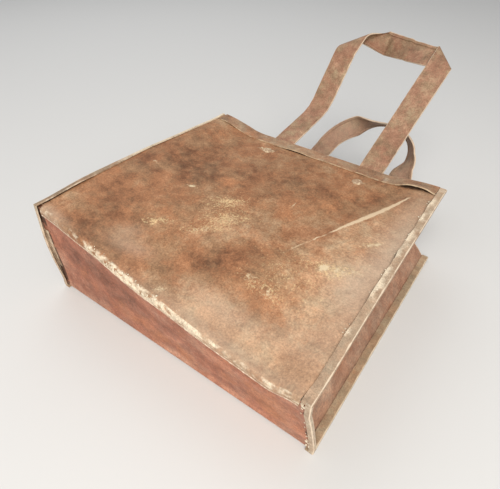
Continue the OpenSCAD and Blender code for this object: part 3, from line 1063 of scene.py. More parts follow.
# Stains of the front panel, by the panel's own X and Y.
PANEL_STAINS: dict[Mark, tuple[Stain, ...]] = {
    Mark.TAN: (
        Stain((125, 70), (50, 130), 0, 0.55), Stain((66, 14), (80, 14), 0, 0.65),
        Stain((52, 24), (30, 12), 0, 0.35), Stain((-138, 18), (22, 22), 0, 0.6),
        Stain((4, 92), (34, 16), 30, 0.4), Stain((108, 108), (26, 14), 20, 0.35),
        Stain((99, 165), (18, 30), -22, 0.3), Stain((-66, 258), (28, 12), 0, 0.4),
        Stain((-132, 255), (20, 20), 0, 0.3),
    ),
    Mark.DARK: (
        Stain((-112, 140), (44, 90), 0, 0.45), Stain((-66, 184), (34, 46), 0, 0.3),
        Stain((-99, 45), (22, 36), 0, 0.4), Stain((33, 200), (30, 20), 0, 0.5),
        Stain((84, 214), (36, 11), 58, 0.5), Stain((34, 76), (26, 13), 35, 0.55),
        Stain((30, 56), (26, 12), 20, 0.45), Stain((-66, 46), (28, 14), 0, 0.3),
        Stain((-88, 14), (40, 9), 0, 0.5), Stain((-134, 110), (14, 32), 0, 0.3),
        # The last stain, at (16, 52), is painted shade on the slope of a dent.
        Stain((16, 52), (20, 10), 30, 0.6),
    ),
    Mark.ORANGE: (
        Stain((-42, 157), (9, 7)), Stain((40, 146), (9, 7), 0, 0.8), Stain((-34, 48), (20, 10), 0, 0.8),
        Stain((-132, 78), (12, 16), 0, 0.7), Stain((90, 50), (26, 18), 0, 0.8),
        Stain((30, 57), (28, 14), 0, 0.6), Stain((34, 200), (26, 16), 0, 0.5),
        Stain((62, 182), (30, 12), 0, 0.5), Stain((4, 86), (20, 12), 0, 0.4),
        Stain((-70, 72), (18, 10), 0, 0.5), Stain((-20, 150), (50, 16), 0, 0.4),
    ),
    Mark.SPECK: (
        Stain((-53, 61), (20, 6), 41, 0.9), Stain((-22, 125), (28, 10), 46, 0.75),
        Stain((-13, 79), (24, 6), 38, 0.9), Stain((-4, 104), (26, 14), 40, 0.8),
        Stain((108, 108), (18, 7), 15, 0.9), Stain((123, 154), (10, 5), 40, 0.8),
        Stain((66, 60), (22, 8), 0, 0.55), Stain((80, 90), (40, 30), 0, 0.35),
        Stain((0, 130), (90, 60), 0, 0.25), Stain((98, 66), (38, 42), 0, 0.3),
        Stain((118, 142), (18, 30), 0, 0.3),
    ),
    Mark.FLECK: (
        Stain((-66, 123), (6, 3.5), 30, 0.75), Stain((-123, 126), (5, 4), 0, 0.6),
        Stain((100, 105), (5, 4), 20, 0.85), Stain((112, 110), (13, 5), 5, 0.55),
        Stain((118.5, 150), (6, 4), 30, 0.6), Stain((127, 157), (7, 3), 45, 0.65),
        Stain((121, 171), (4, 4), 0, 0.55), Stain((76, 57), (8, 6), 30, 0.3),
        Stain((57, 64), (9, 7), 60, 0.22), Stain((33, 164), (1.8, 8), 0, 0.85),
        Stain((-80, 108), (14, 6), 30, 0.4), Stain((130, 120), (10, 26), -10, 0.4),
        Stain((-54, 241), (13, 7), 10, 0.8), Stain((63, 240), (11, 7), 10, 0.55),
        Stain((-20, 125), (30, 16), 46, 0.3), Stain((70, 62), (30, 14), 0, 0.26),
        Stain((6, 9), (6, 4), 30, 0.6), Stain((-10, 80), (30, 10), 38, 0.4),
    ),
    Mark.DUST: (
        Stain((144, 150), (22, 105), 0, 0.85), Stain((112, 36), (34, 22), 0, 0.3),
        Stain((-48, 24), (22, 9), 15, 0.45), Stain((124, 100), (16, 24), 0, 0.4),
        Stain((-62, 36), (16, 9), 30, 0.3), Stain((-130, 2), (26, 6), 0, 0.6),
        Stain((70, 3), (80, 8), 0, 0.6), Stain((56, 24), (34, 13), 0, 0.5),
    ),
}
# Stains of the bottom, by X and the height over the floor.
BASE_STAINS: dict[Mark, tuple[Stain, ...]] = {
    Mark.DARK: (
        Stain((-60, 62), (34, 12), -6, 0.5), Stain((-20, 66), (60, 9), -8, 0.4),
        Stain((70, 46), (46, 8), -12, 0.35), Stain((-100, 50), (24, 26), 0, 0.3),
    ),
    Mark.ORANGE: (
        Stain((118, 50), (26, 36), 0, 0.8), Stain((0, 30), (110, 16), 0, 0.6),
        Stain((60, 70), (50, 14), 0, 0.5),
    ),
    Mark.TAN: (
        Stain((135, 50), (14, 60), 0, 0.5), Stain((0, 6), (150, 8), 0, 0.4),
        Stain((90, 72), (40, 14), 0, 0.3), Stain((-140, 40), (14, 50), 0, 0.3),
        Stain((60, 12), (40, 10), 0, 0.25),
    ),
}
# Worn places of the back panel.
BACK_WEAR = (Stain((60, 200), (70, 60)), Stain((-80, 90), (60, 60)))


@dataclass
class FoldedBody:
    """The front panel, the sheet of the bottom and back, and the two gussets between them."""

    panel_finish: bpy.types.Material
    base_finish: bpy.types.Material
    gusset_finish: bpy.types.Material
    panel_columns: int = 201
    panel_rows: int = 132
    lip_rows: int = 9
    base_columns: int = 101
    back_rows: int = 64
    bottom_rows: int = 44
    lap_rows: int = 4
    arc_steps: int = 11
    gusset_rows: int = 64
    gusset_steps: tuple[int, ...] = (4, 14, 14, 4)
    gusset_corner: float = 1.6
    plate_rows: int = 24
    plate_columns: int = 5
    edge_gap: float = 0.3
    end_slack: float = 0.2
    lump_height: float = 1.0
    lump_way: tuple[float, float] = (-0.8, 0.6)
    lump_seed: int = 5

    def build(self) -> None:
        """Make the sheets of the body."""
        panel, base = [self.front_panel()], [self.base_sheet()]
        Piece("dented_front_panel", panel, self.panel_finish).on(Body.BOX, "rusted_panel", "front_panel")
        Piece("folded_base_sheet", base, self.base_finish).on(Body.BOX, "rusted_base", "base_sheet")
        for side in Side:
            name = side.name.lower() + "_gusset"
            shells = self.gusset(side)
            Piece("folded_" + name, shells, self.gusset_finish).on(Body.BOX, "rusted_gusset", name)

    def drawn_out(self, line: Grid, count: int) -> tuple[Grid, Grid]:
        """Grid of a section drawn out across the box, with a close pair of columns where the lap ends.

        Args:
            line: The section as places from the bottom and heights.
            count: Number of columns between the ends of the lap at the bottom seam.

        Returns:
            The grid, and which of its columns lie beyond the lap.
        """
        half = SIZES.lap_half
        outer = np.array([half + 0.5, half + 4, SIZES.sheet_edge - self.edge_gap])
        x = np.concatenate([-outer[::-1], np.linspace(-half, half, count), outer])
        grid = np.empty((len(line), len(x), 3))
        grid[..., 0] = x
        grid[..., 1:] = line[:, None]
        return grid, np.abs(x) > half + 0.1

    def front_panel(self) -> Shell:
        """The front panel with its lip over the bottom."""
        r = SIZES.fold_radius + SIZES.lay_gap + SIZES.sheet
        turn = np.linspace(np.pi, np.pi / 2, self.arc_steps)
        arc = np.stack([SIZES.fold_radius + r * np.cos(turn), SIZES.fold_z + r * np.sin(turn)], -1)
        levels = np.linspace(SIZES.front_out - SIZES.lip, SIZES.fold_z, self.lip_rows)
        lip = [(arc[0, 0], z) for z in levels[:-1]]
        rows = np.linspace(SIZES.fold_radius, SIZES.height, self.panel_rows)
        flat = [(y, SIZES.front_out) for y in rows[1:]]
        line = np.array([*lip, *arc, *flat])
        way = run_length(line)
        ridge = way[len(lip) + self.arc_steps // 2]
        grid, ends = self.drawn_out(line, self.panel_columns)
        folded = len(lip) + self.arc_steps - 1
        share = (way[:folded] / way[folded])[:, None]
        grid[:folded, ends, 1] = SIZES.fold_radius - self.end_slack * (1 - share)
        grid[:folded, ends, 2] = SIZES.front_out
        grid[..., 2] -= SIZES.sag(grid[..., 0], grid[..., 1])
        px, py = grid[..., 0], grid[..., 1]
        off = (way - ridge)[:, None] + 0 * px
        crease, run = RACKING.crease.measure(px, py)
        rough = lumps(off.shape, self.lump_seed)
        crusted = 0.2 + 0.8 * between(-92, -60, 15, 50, px)
        swell = crusted * between(-ridge, -ridge + 3, 1, 5, off) * np.clip(0.35 + rough, 0, 1)
        grid[..., 1:] += self.lump_height * (swell * ~ends)[..., None] * self.lump_way
        # Painted shade in the gaps along the seam strips and the mouth band, weaker at the lower right.
        tapered = SIZES.binding * (1 - 0.5 * ramp(50, 150, py) * (px < 0))
        edge = np.minimum(SIZES.half_width - tapered - np.abs(px), SIZES.height - SIZES.band - py)
        closed = 1 - 0.75 * ramp(95, 60, py) * ramp(100, 140, px)
        stains = {mark.value: stained(found, px, py) for mark, found in PANEL_STAINS.items()}
        return Shell.behind(
            RACKING(grid), SIZES.sheet, INSIDE, rim=np.full(px.shape, FAR_FROM_RIM), crease=crease, run=run,
            grime=0.75 * closed * near_edge(edge, 0.9),
            pale=self.lip_chalk(px, off) * (0.8 + 0.4 * rough), **stains,
        )

    @staticmethod
    def lip_chalk(x: Grid, off: Grid) -> Grid:
        """Chalk on the front panel's fold and lip, which covers less of the lip towards both ends.

        Args:
            x: Places across the box.
            off: Distance past the ridge of the fold, negative on the lip.

        Returns:
            Amount of chalk.
        """
        reach = 4.5 + 7.5 * between(-120, -70, 0, 70, x)
        amount = 0.66 + 0.56 * between(-88, -60, 20, 80, x) + 0.16 * ramp(10, 60, x)
        beyond = 2.2 + 3.3 * ramp(40, -20, x)
        return amount * ramp(-reach - 2, -reach, off) * ramp(beyond, 0.3, off)

    def base_sheet(self) -> Shell:
        """The back panel and the bottom in one sheet, with the lap under the front panel."""
        r = SIZES.fold_radius
        low = np.linspace(1.5 * np.pi, np.pi, self.arc_steps)
        high = np.linspace(np.pi, np.pi / 2, self.arc_steps)
        rows = np.linspace(SIZES.height, r, self.back_rows)
        levels = np.linspace(SIZES.back_out + r, SIZES.fold_z, self.bottom_rows)
        back = [(y, SIZES.back_out) for y in rows[:-1]]
        fold = [(r + r * math.cos(t), SIZES.back_out + r + r * math.sin(t)) for t in low]
        rise = [(0.0, z) for z in levels[1:-1]]
        over = [(r + r * math.cos(t), SIZES.fold_z + r * math.sin(t)) for t in high]
        lap = [(y, SIZES.fold_z + r) for y in np.linspace(r, r + SIZES.lap, self.lap_rows)[1:]]
        line = np.array([*back, *fold, *rise, *over, *lap])
        way = run_length(line)
        ridge = way[len(back) + self.arc_steps // 2]
        grid, ends = self.drawn_out(line, self.base_columns)
        last = len(back) + len(fold) + len(rise)
        share = ((way[last:] - way[last]) / (way[-1] - way[last]))[:, None]
        grid[last:, ends, 1] = 0
        grid[last:, ends, 2] = SIZES.fold_z + self.end_slack * share
        px, py, pz = np.moveaxis(grid, -1, 0)
        front = ramp(30, 8, py)
        rim = np.minimum(np.abs(way - ridge), way)[:, None] + 0 * px
        marks = {mark.value: front * stained(found, px, pz) for mark, found in BASE_STAINS.items()}
        back_wear = (1 - front) * stained(BACK_WEAR, px, py)
        marks[Mark.TAN.value] = marks[Mark.TAN.value] + back_wear
        # Painted shade in the gaps under the seam strips' edges, stronger on the left.
        beside = SIZES.half_width - SIZES.binding - np.abs(px) - 2.0 * front * (px < 0)
        return Shell.behind(
            RACKING(grid), SIZES.sheet, INSIDE, rim=np.minimum(rim, FAR_FROM_RIM), speck=0.3 * back_wear,
            grime=np.where(px < 0, 1.0, 0.7) * near_edge(beside, 1.2), **marks,
        )

    def gusset(self, side: Side) -> list[Shell]:
        """One gusset: the wall folded inwards with its two flanges, and the flange at the bottom.

        Args:
            side: Side of the box.

        Returns:
            The shells of the gusset.
        """
        half, edge, wall = SIZES.sheet / 2, SIZES.sheet_edge - self.edge_gap, SIZES.wall_x
        high = SIZES.front_in - SIZES.lay_gap - SIZES.sheet
        low = SIZES.back_in + SIZES.lay_gap + SIZES.sheet
        first = 2 * SIZES.sheet + SIZES.lay_gap
        rows = np.linspace(first, SIZES.height, self.gusset_rows)
        depth = SIZES.gusset_bottom + (SIZES.gusset_mouth - SIZES.gusset_bottom) * rows / SIZES.height
        stations = []
        for y, inward in zip(rows, depth):
            middle = (wall - inward, SIZES.depth / 2)
            corners = [(edge, high), (wall + half, high), middle, (wall + half, low), (edge, low)]
            line = rounded(corners, self.gusset_corner, self.gusset_steps)
            stations.append(np.stack([line[:, 0] * side.value, np.full(len(line), y), line[:, 1]], -1))
        grid = np.array(stations)
        py, pz = grid[..., 1], grid[..., 2]
        fold = np.abs(pz - SIZES.depth / 2) + 0.55 + 2 * (1 - between(70, 110, 180, 215, py))
        # Painted shade beside the flanges, in the gaps under the seam strips, stronger towards the bottom.
        beside = np.minimum(high - pz, pz - low) - 2
        across = side.value * SIZES.half_width
        # Painted shade and light: dark and extra orange paint the shadow of the front panel's edge on the wall
        # above its middle, fading near the mouth; tan and dust light the wall low down, and tan near the
        # mouth, where light falls on it.
        gusset_wall = Shell.behind(
            RACKING(grid, across), SIZES.sheet, INSIDE,
            rim=np.minimum(np.minimum(SIZES.height - py, fold), FAR_FROM_RIM),
            dark=0.9 * ramp(40, 60, pz) * ramp(262, 225, py),
            tan=0.2 * ramp(48, 20, pz) + 0.25 * ramp(205, 245, py),
            speck=0.3 * ramp(45, 20, pz),
            orange=0.35 + 0.45 * ramp(40, 56, pz) * ramp(230, 180, py),
            pale=0.5 * ramp(262, 271, py) + 0.3 * ramp(40, 8, py) * ramp(56, 40, pz),
            dust=0.12 * ramp(46, 30, pz),
            grime=(0.2 + 0.22 * ramp(90, 40, py)) * near_edge(beside, 1.2),
        )
        return [gusset_wall, self.gusset_plate(side, (low, high), first, across)]

    def gusset_plate(self, side: Side, levels: tuple[float, float], first: float, across: float) -> Shell:
        """The flange with which a gusset lies on the bottom.

        Args:
            side: Side of the box.
            levels: Heights of the gusset's lower and upper flange.
            first: Place of the flange's inner face, from the bottom.
            across: Place across the box that the flange moves with.

        Returns:
            The shell of the flange.
        """
        z = np.linspace(levels[0] + self.end_slack, levels[1] - self.end_slack, self.plate_rows)[:, None]
        bulge = SIZES.gusset_bottom * (1 - np.abs(z / SIZES.depth - 0.5) * 2)
        near = SIZES.wall_x - bulge + SIZES.sheet / 2
        share = np.linspace(0, 1, self.plate_columns)
        x = side.value * (near + (SIZES.sheet_edge - self.edge_gap - near) * share)
        plate = np.stack([x, np.full_like(x, first - 0.02), z + 0 * x], -1)
        below = (0.0, -100.0, 50.0)
        rim = np.full(x.shape, FAR_FROM_RIM)
        return Shell.behind(RACKING(plate, across), SIZES.sheet - 0.04, below, rim=rim)


@dataclass(frozen=True)
class Lift:
    """Stretch of a strip whose free edge stands off the sheet: its middle, half length and height."""

    middle: float
    half: float
    height: float

    def __call__(self, along: Grid) -> Grid:
        """Height at places along the strip."""
        return self.height * bell(along, self.middle, self.half, 4)


# Patches of crust along the right front strip: the middle and the half length of each.
CRUMBS = ((240.0, 9.0), (214.0, 6.0), (182.0, 8.0), (155.0, 9.0), (128.0, 7.0), (106.0, 10.0), (60.0, 5.0))


def crumbled(along: Grid) -> Grid:
    """How much crust sits at places along the right front strip."""
    return sum(bell(along, middle, half) for middle, half in CRUMBS)


class Run(Enum):
    """Edges of the box that a seam strip runs along."""

    FRONT = "front"
    BOTTOM = "bottom"
    BACK = "back"


@dataclass(frozen=True)
class StripLook:
    """What the wear has done to one seam strip, and the shade painted along its free edge.

    The lifts raise its free edge. The bow moves its middle. The taper is the share of its width that is left
    after two places along it. Pale, dust, tan and dark are amounts of these marks, and the amount after them
    is painted shade in dashes along the gap under its free edge. More chalk can lie towards the mouth and, as
    crust, in patches. Ragged is how uneven its free edge is. Dull keeps all of the strip from shining, and
    edge_dull its two edges.
    """

    lifts: tuple[Lift, ...] = ()
    bow: Triple = (0.0, 0.0, 0.0)
    taper: Triple = (1.0, 0.0, 1.0)
    pale: float = 0.1
    dust: float = 0.1
    tan: float = 0.1
    dark: float = 0.1
    # Amount of painted shade in dashes along the gap under the free edge.
    grime: float = 0.0
    ragged: float = 0.03
    mouth_pale: float = 0.0
    crust: float = 0.0
    dull: float = 0.0
    edge_dull: float = 0.7


@dataclass
class SeamStrips:
    """The six folded strips that hold the edges of the panels to the flanges of the gussets."""

    finish: bpy.types.Material
    back_finish: bpy.types.Material
    corner: float = 1.5
    step: float = 3.0
    looks: dict[str, StripLook] = field(
        default_factory=lambda: {
            "front_left": StripLook(
                (Lift(22, 40, 1.9), Lift(150, 60, 0.5)),
                taper=(0.5, 50.0, 150.0), pale=0.3, mouth_pale=0.8,
            ),
            "front_right": StripLook(
                (
                    Lift(236, 12, 1.3), Lift(206, 7, 0.9), Lift(182, 8, 0.8), Lift(150, 9, 1.2),
                    Lift(122, 8, 0.9), Lift(98, 10, 1.1), Lift(66, 12, 0.7),
                ),
                dust=0.35, tan=0.25, pale=0.3, mouth_pale=0.25, crust=0.85,
                grime=3.2, ragged=0.13, dull=0.22,
            ),
            "bottom_left": StripLook(
                (Lift(52, 46, 0.9),),
                bow=(0.0, -2.3, 0.0), taper=(0.6, -1.0, 0.0), pale=0.75, tan=0.2,
            ),
            "bottom_right": StripLook(taper=(0.6, -1.0, 0.0), pale=0.7, dust=0.6),
        }
    )

    def build(self) -> None:
        """Make the six strips."""
        for run in Run:
            for side in Side:
                name = f"{run.value}_{side.name.lower()}"
                shell = self.strip(run, side, self.looks.get(name, StripLook()))
                finish = self.back_finish if run is Run.BACK else self.finish
                Piece(name + "_strip", [shell], finish).on(Body.BOX, "worn_strip", name + "_binding")

    def strip(self, run: Run, side: Side, look: StripLook) -> Shell:
        """One strip, bent round the edge that it runs along and mitred at the corners of the bottom.

        Args:
            run: Edge of the box.
            side: Side of the box.
            look: What the wear has done to it.

        Returns:
            The shell of the strip.
        """
        width, deep = SIZES.binding, SIZES.channel
        line = rounded([(width, 0), (0, 0), (0, deep), (width, deep)], self.corner, (7, 2, 7))
        inward, depth = line.T
        way = run_length(line)
        turns = [np.argmin(np.hypot(inward - x, depth - y)) for x, y in ((0, 0), (0, deep))]
        edges = [way + look.edge_dull, way[-1] - way + look.edge_dull]
        rim = np.min([np.abs(way - way[t]) for t in turns] + edges, axis=0)
        length = SIZES.depth if run is Run.BOTTOM else SIZES.height - SIZES.heel
        share = np.linspace(0, 1, max(12, round(length / self.step)))[:, None]
        begin = depth if run is Run.BOTTOM else SIZES.heel + depth
        end = SIZES.depth - depth if run is Run.BOTTOM else np.full_like(depth, SIZES.height)
        along = begin + share * (end - begin)
        free = np.clip(inward / width, 0, 1) ** 2 * (depth < deep / 2)
        wave = 0.25 * np.sin(along / 9 + 2 * side.value) + 0.2 * np.sin(along / 23 + 1.0)
        wave = wave + 0.2 * np.sin(along / 4)
        raised = depth - free * sum((lift(along) for lift in look.lifts), 0 * along)
        left_over, first, last = look.taper
        narrow = 1 - (1 - left_over) * ramp(first, last, along) * (depth < deep / 2)
        x = side.value * (SIZES.half_width - inward * narrow * (1 + look.ragged * wave))
        if run is Run.BOTTOM:
            grid = np.stack([x, SIZES.heel + raised, along], -1)
        else:
            grid = np.stack([x, along, raised if run is Run.BACK else SIZES.depth - raised], -1)
        middle = np.mean(grid, axis=(0, 1))
        middle[0] -= side.value * 3.0
        outer = RACKING(grid) + np.sin(np.pi * share)[..., None] * look.bow
        even = np.ones(along.shape)
        chalk = look.pale + look.mouth_pale * ramp(80, 130, along) + look.crust * free * crumbled(along)
        # Dashes of painted shade under the free edge, towards the mouth.
        gaps = ramp(55, 90, along) * ramp(-0.9, 0.4, np.sin(along / 7))
        return Shell.behind(
            outer, SIZES.strip, RACKING(middle), rim=(rim + look.dull) * even, dust=look.dust * even,
            pale=chalk,
            tan=look.tan + 0.15 * np.sin(along / 40 + side.value),
            dark=look.dark + 0.2 * ramp(0.2, 0.9, np.sin(along / 27)),
            grime=look.grime * np.clip(free - 0.75, 0, 0.25) * gaps,
        )


@dataclass
class MouthBands:
    """The bands that stiffen the front and back edges of the mouth."""

    finish: bpy.types.Material
    corner: float = 1.2
    stations: int = 96
    steps: tuple[int, int] = (9, 2)
    lifts: tuple[Lift, ...] = (
        Lift(-126, 12, 1.1), Lift(-24, 15, 1.6), Lift(122, 19, 4.2), Lift(58, 6, 0.6),
    )

    def build(self) -> None:
        """Make both bands."""
        start = SIZES.height - SIZES.band
        tip = SIZES.height + SIZES.lay_gap + SIZES.strip
        front = SIZES.front_out + SIZES.band_gap + SIZES.strip
        for name, face, hook in (("front", front, SIZES.front_in), ("back", 0.0, SIZES.back_in)):
            line = rounded([(start, face), (tip, face), (tip, hook)], self.corner, self.steps)
            shell = self.shell(line, name == "front")
            Piece(name + "_mouth_strip", [shell], self.finish).on(
                Body.BOX, "rusted_band", name + "_mouth_band"
            )

    def shell(self, line: Grid, dished: bool) -> Shell:
        """A band along a mouth edge.

        Args:
            line: Its section as places from the bottom and heights.
            dished: Whether it follows the dish of the front panel.

        Returns:
            The shell of the band.
        """
        x = np.linspace(-SIZES.band_half, SIZES.band_half, self.stations)[:, None] + 0 * line[:, 0]
        y = line[:, 0] + 0 * x
        z = line[:, 1] + 0 * x
        way = run_length(line)
        turn = np.argmin(np.hypot(line[:, 0] - line[:, 0].max(), line[:, 1] - line[0, 1]))
        rim = np.minimum(np.minimum(way + 0.6, way[-1] - way), np.abs(way - way[turn]) * 1.2) + 0 * x
        if dished:
            free = np.clip((SIZES.height - y) / SIZES.band, 0, 1) ** 1.5
            z = z - SIZES.sag(x, np.minimum(y, SIZES.height)) + free * sum(lift(x) for lift in self.lifts)
            y = y + free * (0.4 * np.sin(x / 13) + 0.3 * np.sin(x / 29 + 1))
        return Shell.behind(
            RACKING(np.stack([x, y, z], -1)), SIZES.strip, INSIDE, rim=rim,
            dark=0.25 * ramp(-0.2, 0.9, np.sin(x / 33 + 0.4)),
            tan=0.3 * ramp(0.1, 0.9, np.sin(x / 47 + 2)),
            orange=0.5 * ramp(0.4, 1, np.sin(x / 19)),
            pale=0.5 * ramp(0.5, 1, np.sin(x / 13 + 1)),
        )


@dataclass
class Ribbon:
    """Route of a strap: its two edges and the direction that its face looks in, station by station."""

    near: list[Grid] = field(default_factory=list)
    far: list[Grid] = field(default_factory=list)
    face: list[Grid] = field(default_factory=list)
    hem_step: float = 0.012
    edge_share: float = 0.35

    def add(self, near: Sequence[float], far: Sequence[float], face: Sequence[float]) -> None:
        """Put a station at the end of the route."""
        self.near.append(np.asarray(near, float))
        self.far.append(np.asarray(far, float))
        self.face.append(np.asarray(face, float))

    def extend(self, other: "Ribbon", backwards: bool = False) -> None:
        """Put another route's stations at the end of this one."""
        order = slice(None, None, -1 if backwards else 1)
        self.near += other.near[order]
        self.far += other.far[order]
        self.face += other.face[order]

    def shell(self, hems: int, **marks: float) -> Shell:
        """The strap as a sheet with a hem folded over along each edge.

        Args:
            hems: 1 where the hems lie on the side that the face looks to, otherwise -1.
            marks: Strength of even marks by the names of Mark.

        Returns:
            The shell of the strap.
        """
        hem = SIZES.hem / SIZES.strap_width
        half = np.array([0, 0.02, 0.07, hem - self.hem_step, hem + self.hem_step, 0.28, 0.4])
        shares = np.concatenate([half, [0.5], 1 - half[::-1]])
        edge = np.minimum(shares, 1 - shares)
        soft = np.where(edge == 0, self.edge_share, 1.0)
        flat = -hems * SIZES.strap * soft
        turned = np.where(edge < hem, hems * SIZES.strap * soft, 0.0)
        near, far, face = (np.array(v)[:, None] for v in (self.near, self.far, self.face))
        sheet = near + (far - near) * shares[:, None]
        rim = np.broadcast_to(edge * SIZES.strap_width, sheet.shape[:2]).copy()
        values = {Mark[k.upper()]: np.full(sheet.shape[:2], v) for k, v in marks.items()}
        return Shell(sheet + face * flat[:, None], sheet + face * turned[:, None], {Mark.RIM: rim, **values})


@dataclass
class StrapHandle:
    """A handle made of one strap, riveted to a panel by its tails and bent at the mouth."""

    finish: bpy.types.Material
    leg: float
    tilt: float
    lean: float
    bend: tuple[float, float]
    tail_slope: float
    bend_radius: float = 2.6
    tail_steps: int = 14
    bend_steps: int = 9
    leg_start: float = 3.0

    @property
    def place(self) -> tuple[float, float, float]:
        """Middle of the bend line."""
        return (SIZES.handle_x, *self.bend)

    def stand(self, local: Ribbon) -> Ribbon:
        """Route above the bend line, from the handle's own axes to the box's.

        Args:
            local: Route across the handle, up from the bend line and out of its plane.

        Returns:
            The same route on the box.
        """
        tilt, lean = math.radians(self.tilt), math.tan(math.radians(self.lean))
        sin, cos = math.sin(tilt), math.cos(tilt)
        axes = np.array([[1, 0, 0], [lean, cos, sin], [0, -sin, cos]])
        turn = np.array([[1, 0, 0], [0, cos, sin], [0, -sin, cos]])
        stood = Ribbon()
        for near, far, face in zip(local.near, local.far, local.face):
            stood.add(near @ axes + self.place, far @ axes + self.place, face @ turn)
        return stood

    def foot(self, side: Side) -> Ribbon:
        """A strap's tail on the panel and its bend at the mouth, from the tail's end upwards.

        Args:
            side: Which of the two feet.

        Returns:
            The route up to where the leg runs straight.
        """
        slope, tilt = -self.tail_slope, math.radians(self.tilt)
        reach = self.bend_radius * math.tan((tilt - slope) / 2)
        inner = side.value * SIZES.handle_gap / 2 + SIZES.handle_x
        outer = inner + side.value * SIZES.strap_width
        bend = np.array(self.bend)
        route: list[tuple[Grid, float]] = []
        length = SIZES.tail + SIZES.lay_gap + SIZES.strip + SIZES.bend_gap + SIZES.strap
        for t in np.linspace(-length, -reach, self.tail_steps):
            route.append((bend + t * np.array([math.cos(slope), math.sin(slope)]), slope))
        centre = route[-1][0] + self.bend_radius * np.array([-math.sin(slope), math.cos(slope)])
        for angle in np.linspace(slope, tilt, self.bend_steps)[1:]:
            route.append((centre + self.bend_radius * np.array([math.sin(angle), -math.cos(angle)]), angle))
        foot = Ribbon()
        for (y, z), angle in route:
            face = (0, -math.sin(angle), math.cos(angle))
            foot.add((inner, y, z), (outer, y, z), face)
        return foot

    def joined(self, local: Ribbon) -> Ribbon:
        """The whole strap from the end of one tail to the end of the other."""
        whole = self.foot(Side.LEFT)
        whole.extend(self.stand(local))
        whole.extend(self.foot(Side.RIGHT), backwards=True)
        return whole


@dataclass
class FrontHandle(StrapHandle):
    """The front handle: two legs and a bar, with the strap folded over at its corners.

    Each dent of the bar has a depth, and a middle and a half length as shares of the bar.
    """

    left_roll: float = 8.0
    right_roll: float = 2.5
    fold_rise: float = 24.0
    lift: float = 16.0
    kink: float = 26.0
    twist: float = 40.0
    blunt: float = 0.08
    ripple: float = 0.5
    ripple_length: float = 19.0
    roll_steps: int = 20
    leg_steps: int = 48
    bar_steps: int = 28
    dents: tuple[Triple, ...] = ((1.3, 0.52, 0.05), (-0.8, 0.62, 0.1))

    def build(self) -> None:
        """Make the strap."""
        left, right = self.corner(Side.LEFT), self.corner(Side.RIGHT)
        local = Ribbon()
        local.extend(left)
        for t in np.linspace(0, 1, self.bar_steps)[1:-1]:
            dent = sum(depth * bell(t, middle, half) for depth, middle, half in self.dents)
            ends = ((left.near, right.near), (left.far, right.far), (left.face, right.face))
            near, far, face = (a[-1] * (1 - t) + b[-1] * t for a, b in ends)
            local.add(near + (0, 0, dent), far + (0, 0, 0.5 * dent), face / np.linalg.norm(face))
        local.extend(right, backwards=True)
        strap = self.joined(local).shell(-1, tan=0.15, speck=0.08)
        Piece("front_strap", [strap], self.finish).bent(
            Body.FRONT_HANDLE, self.place, "rusted_strap", "front_handle", "front_handle_tails"
        )

    def corner(self, side: Side) -> Ribbon:
        """A leg and the corner where the strap is folded over a diagonal, on the left kinked and lifted.

        Args:
            side: Which of the two legs.

        Returns:
            The route from the bend line to the start of the bar.
        """
        s, bent = side.value, side is Side.LEFT
        roll, rise = (self.left_roll, self.fold_rise) if bent else (self.right_roll, SIZES.strap_width)
        inner, outer = s * SIZES.handle_gap / 2, s * (SIZES.handle_gap / 2 + SIZES.strap_width)
        route = Ribbon()
        for u in np.linspace(self.leg_start, self.leg - SIZES.strap, self.leg_steps):
            off = 1 - abs(2 * u / self.leg - 1)
            sag = self.kink * (off - self.blunt * ramp(0.8, 1.0, np.float64(off))) if bent else 0.0
            dip = self.ripple * math.sin(u / self.ripple_length + s) * math.sin(math.pi * u / self.leg)
            route.add((inner, u, dip - sag), (outer, u, -dip - sag), (0, 0, 1))
        slant = math.hypot(SIZES.strap_width, rise)
        along = np.array([-s * SIZES.strap_width, rise, 0]) / slant
        out = np.array([s * rise, SIZES.strap_width, 0]) / slant
        high, low = np.array([inner, self.leg + rise, 0]), np.array([outer, self.leg, 0])
        for share in np.linspace(0, 1, self.roll_steps + 1):
            a = math.pi * share
            slid = along * rise / SIZES.strap_width * a
            moved = roll * (slid + out * math.sin(a) - (0, 0, 1 - math.cos(a)))
            moved = moved + (0, (self.lift if bent else 0.0) * share**2, 0)
            route.add(high + moved, low + moved, out * math.sin(a) + (0, 0, math.cos(a)))
        twist = math.radians(self.twist if bent else 0.0)
        top = route.near[-1] - (s * SIZES.strap, 0, 0)
        drop = SIZES.strap_width * np.array([0, math.cos(twist), math.sin(twist)])
        route.add(top, top - drop, (0, math.sin(twist), -math.cos(twist)))
        return route


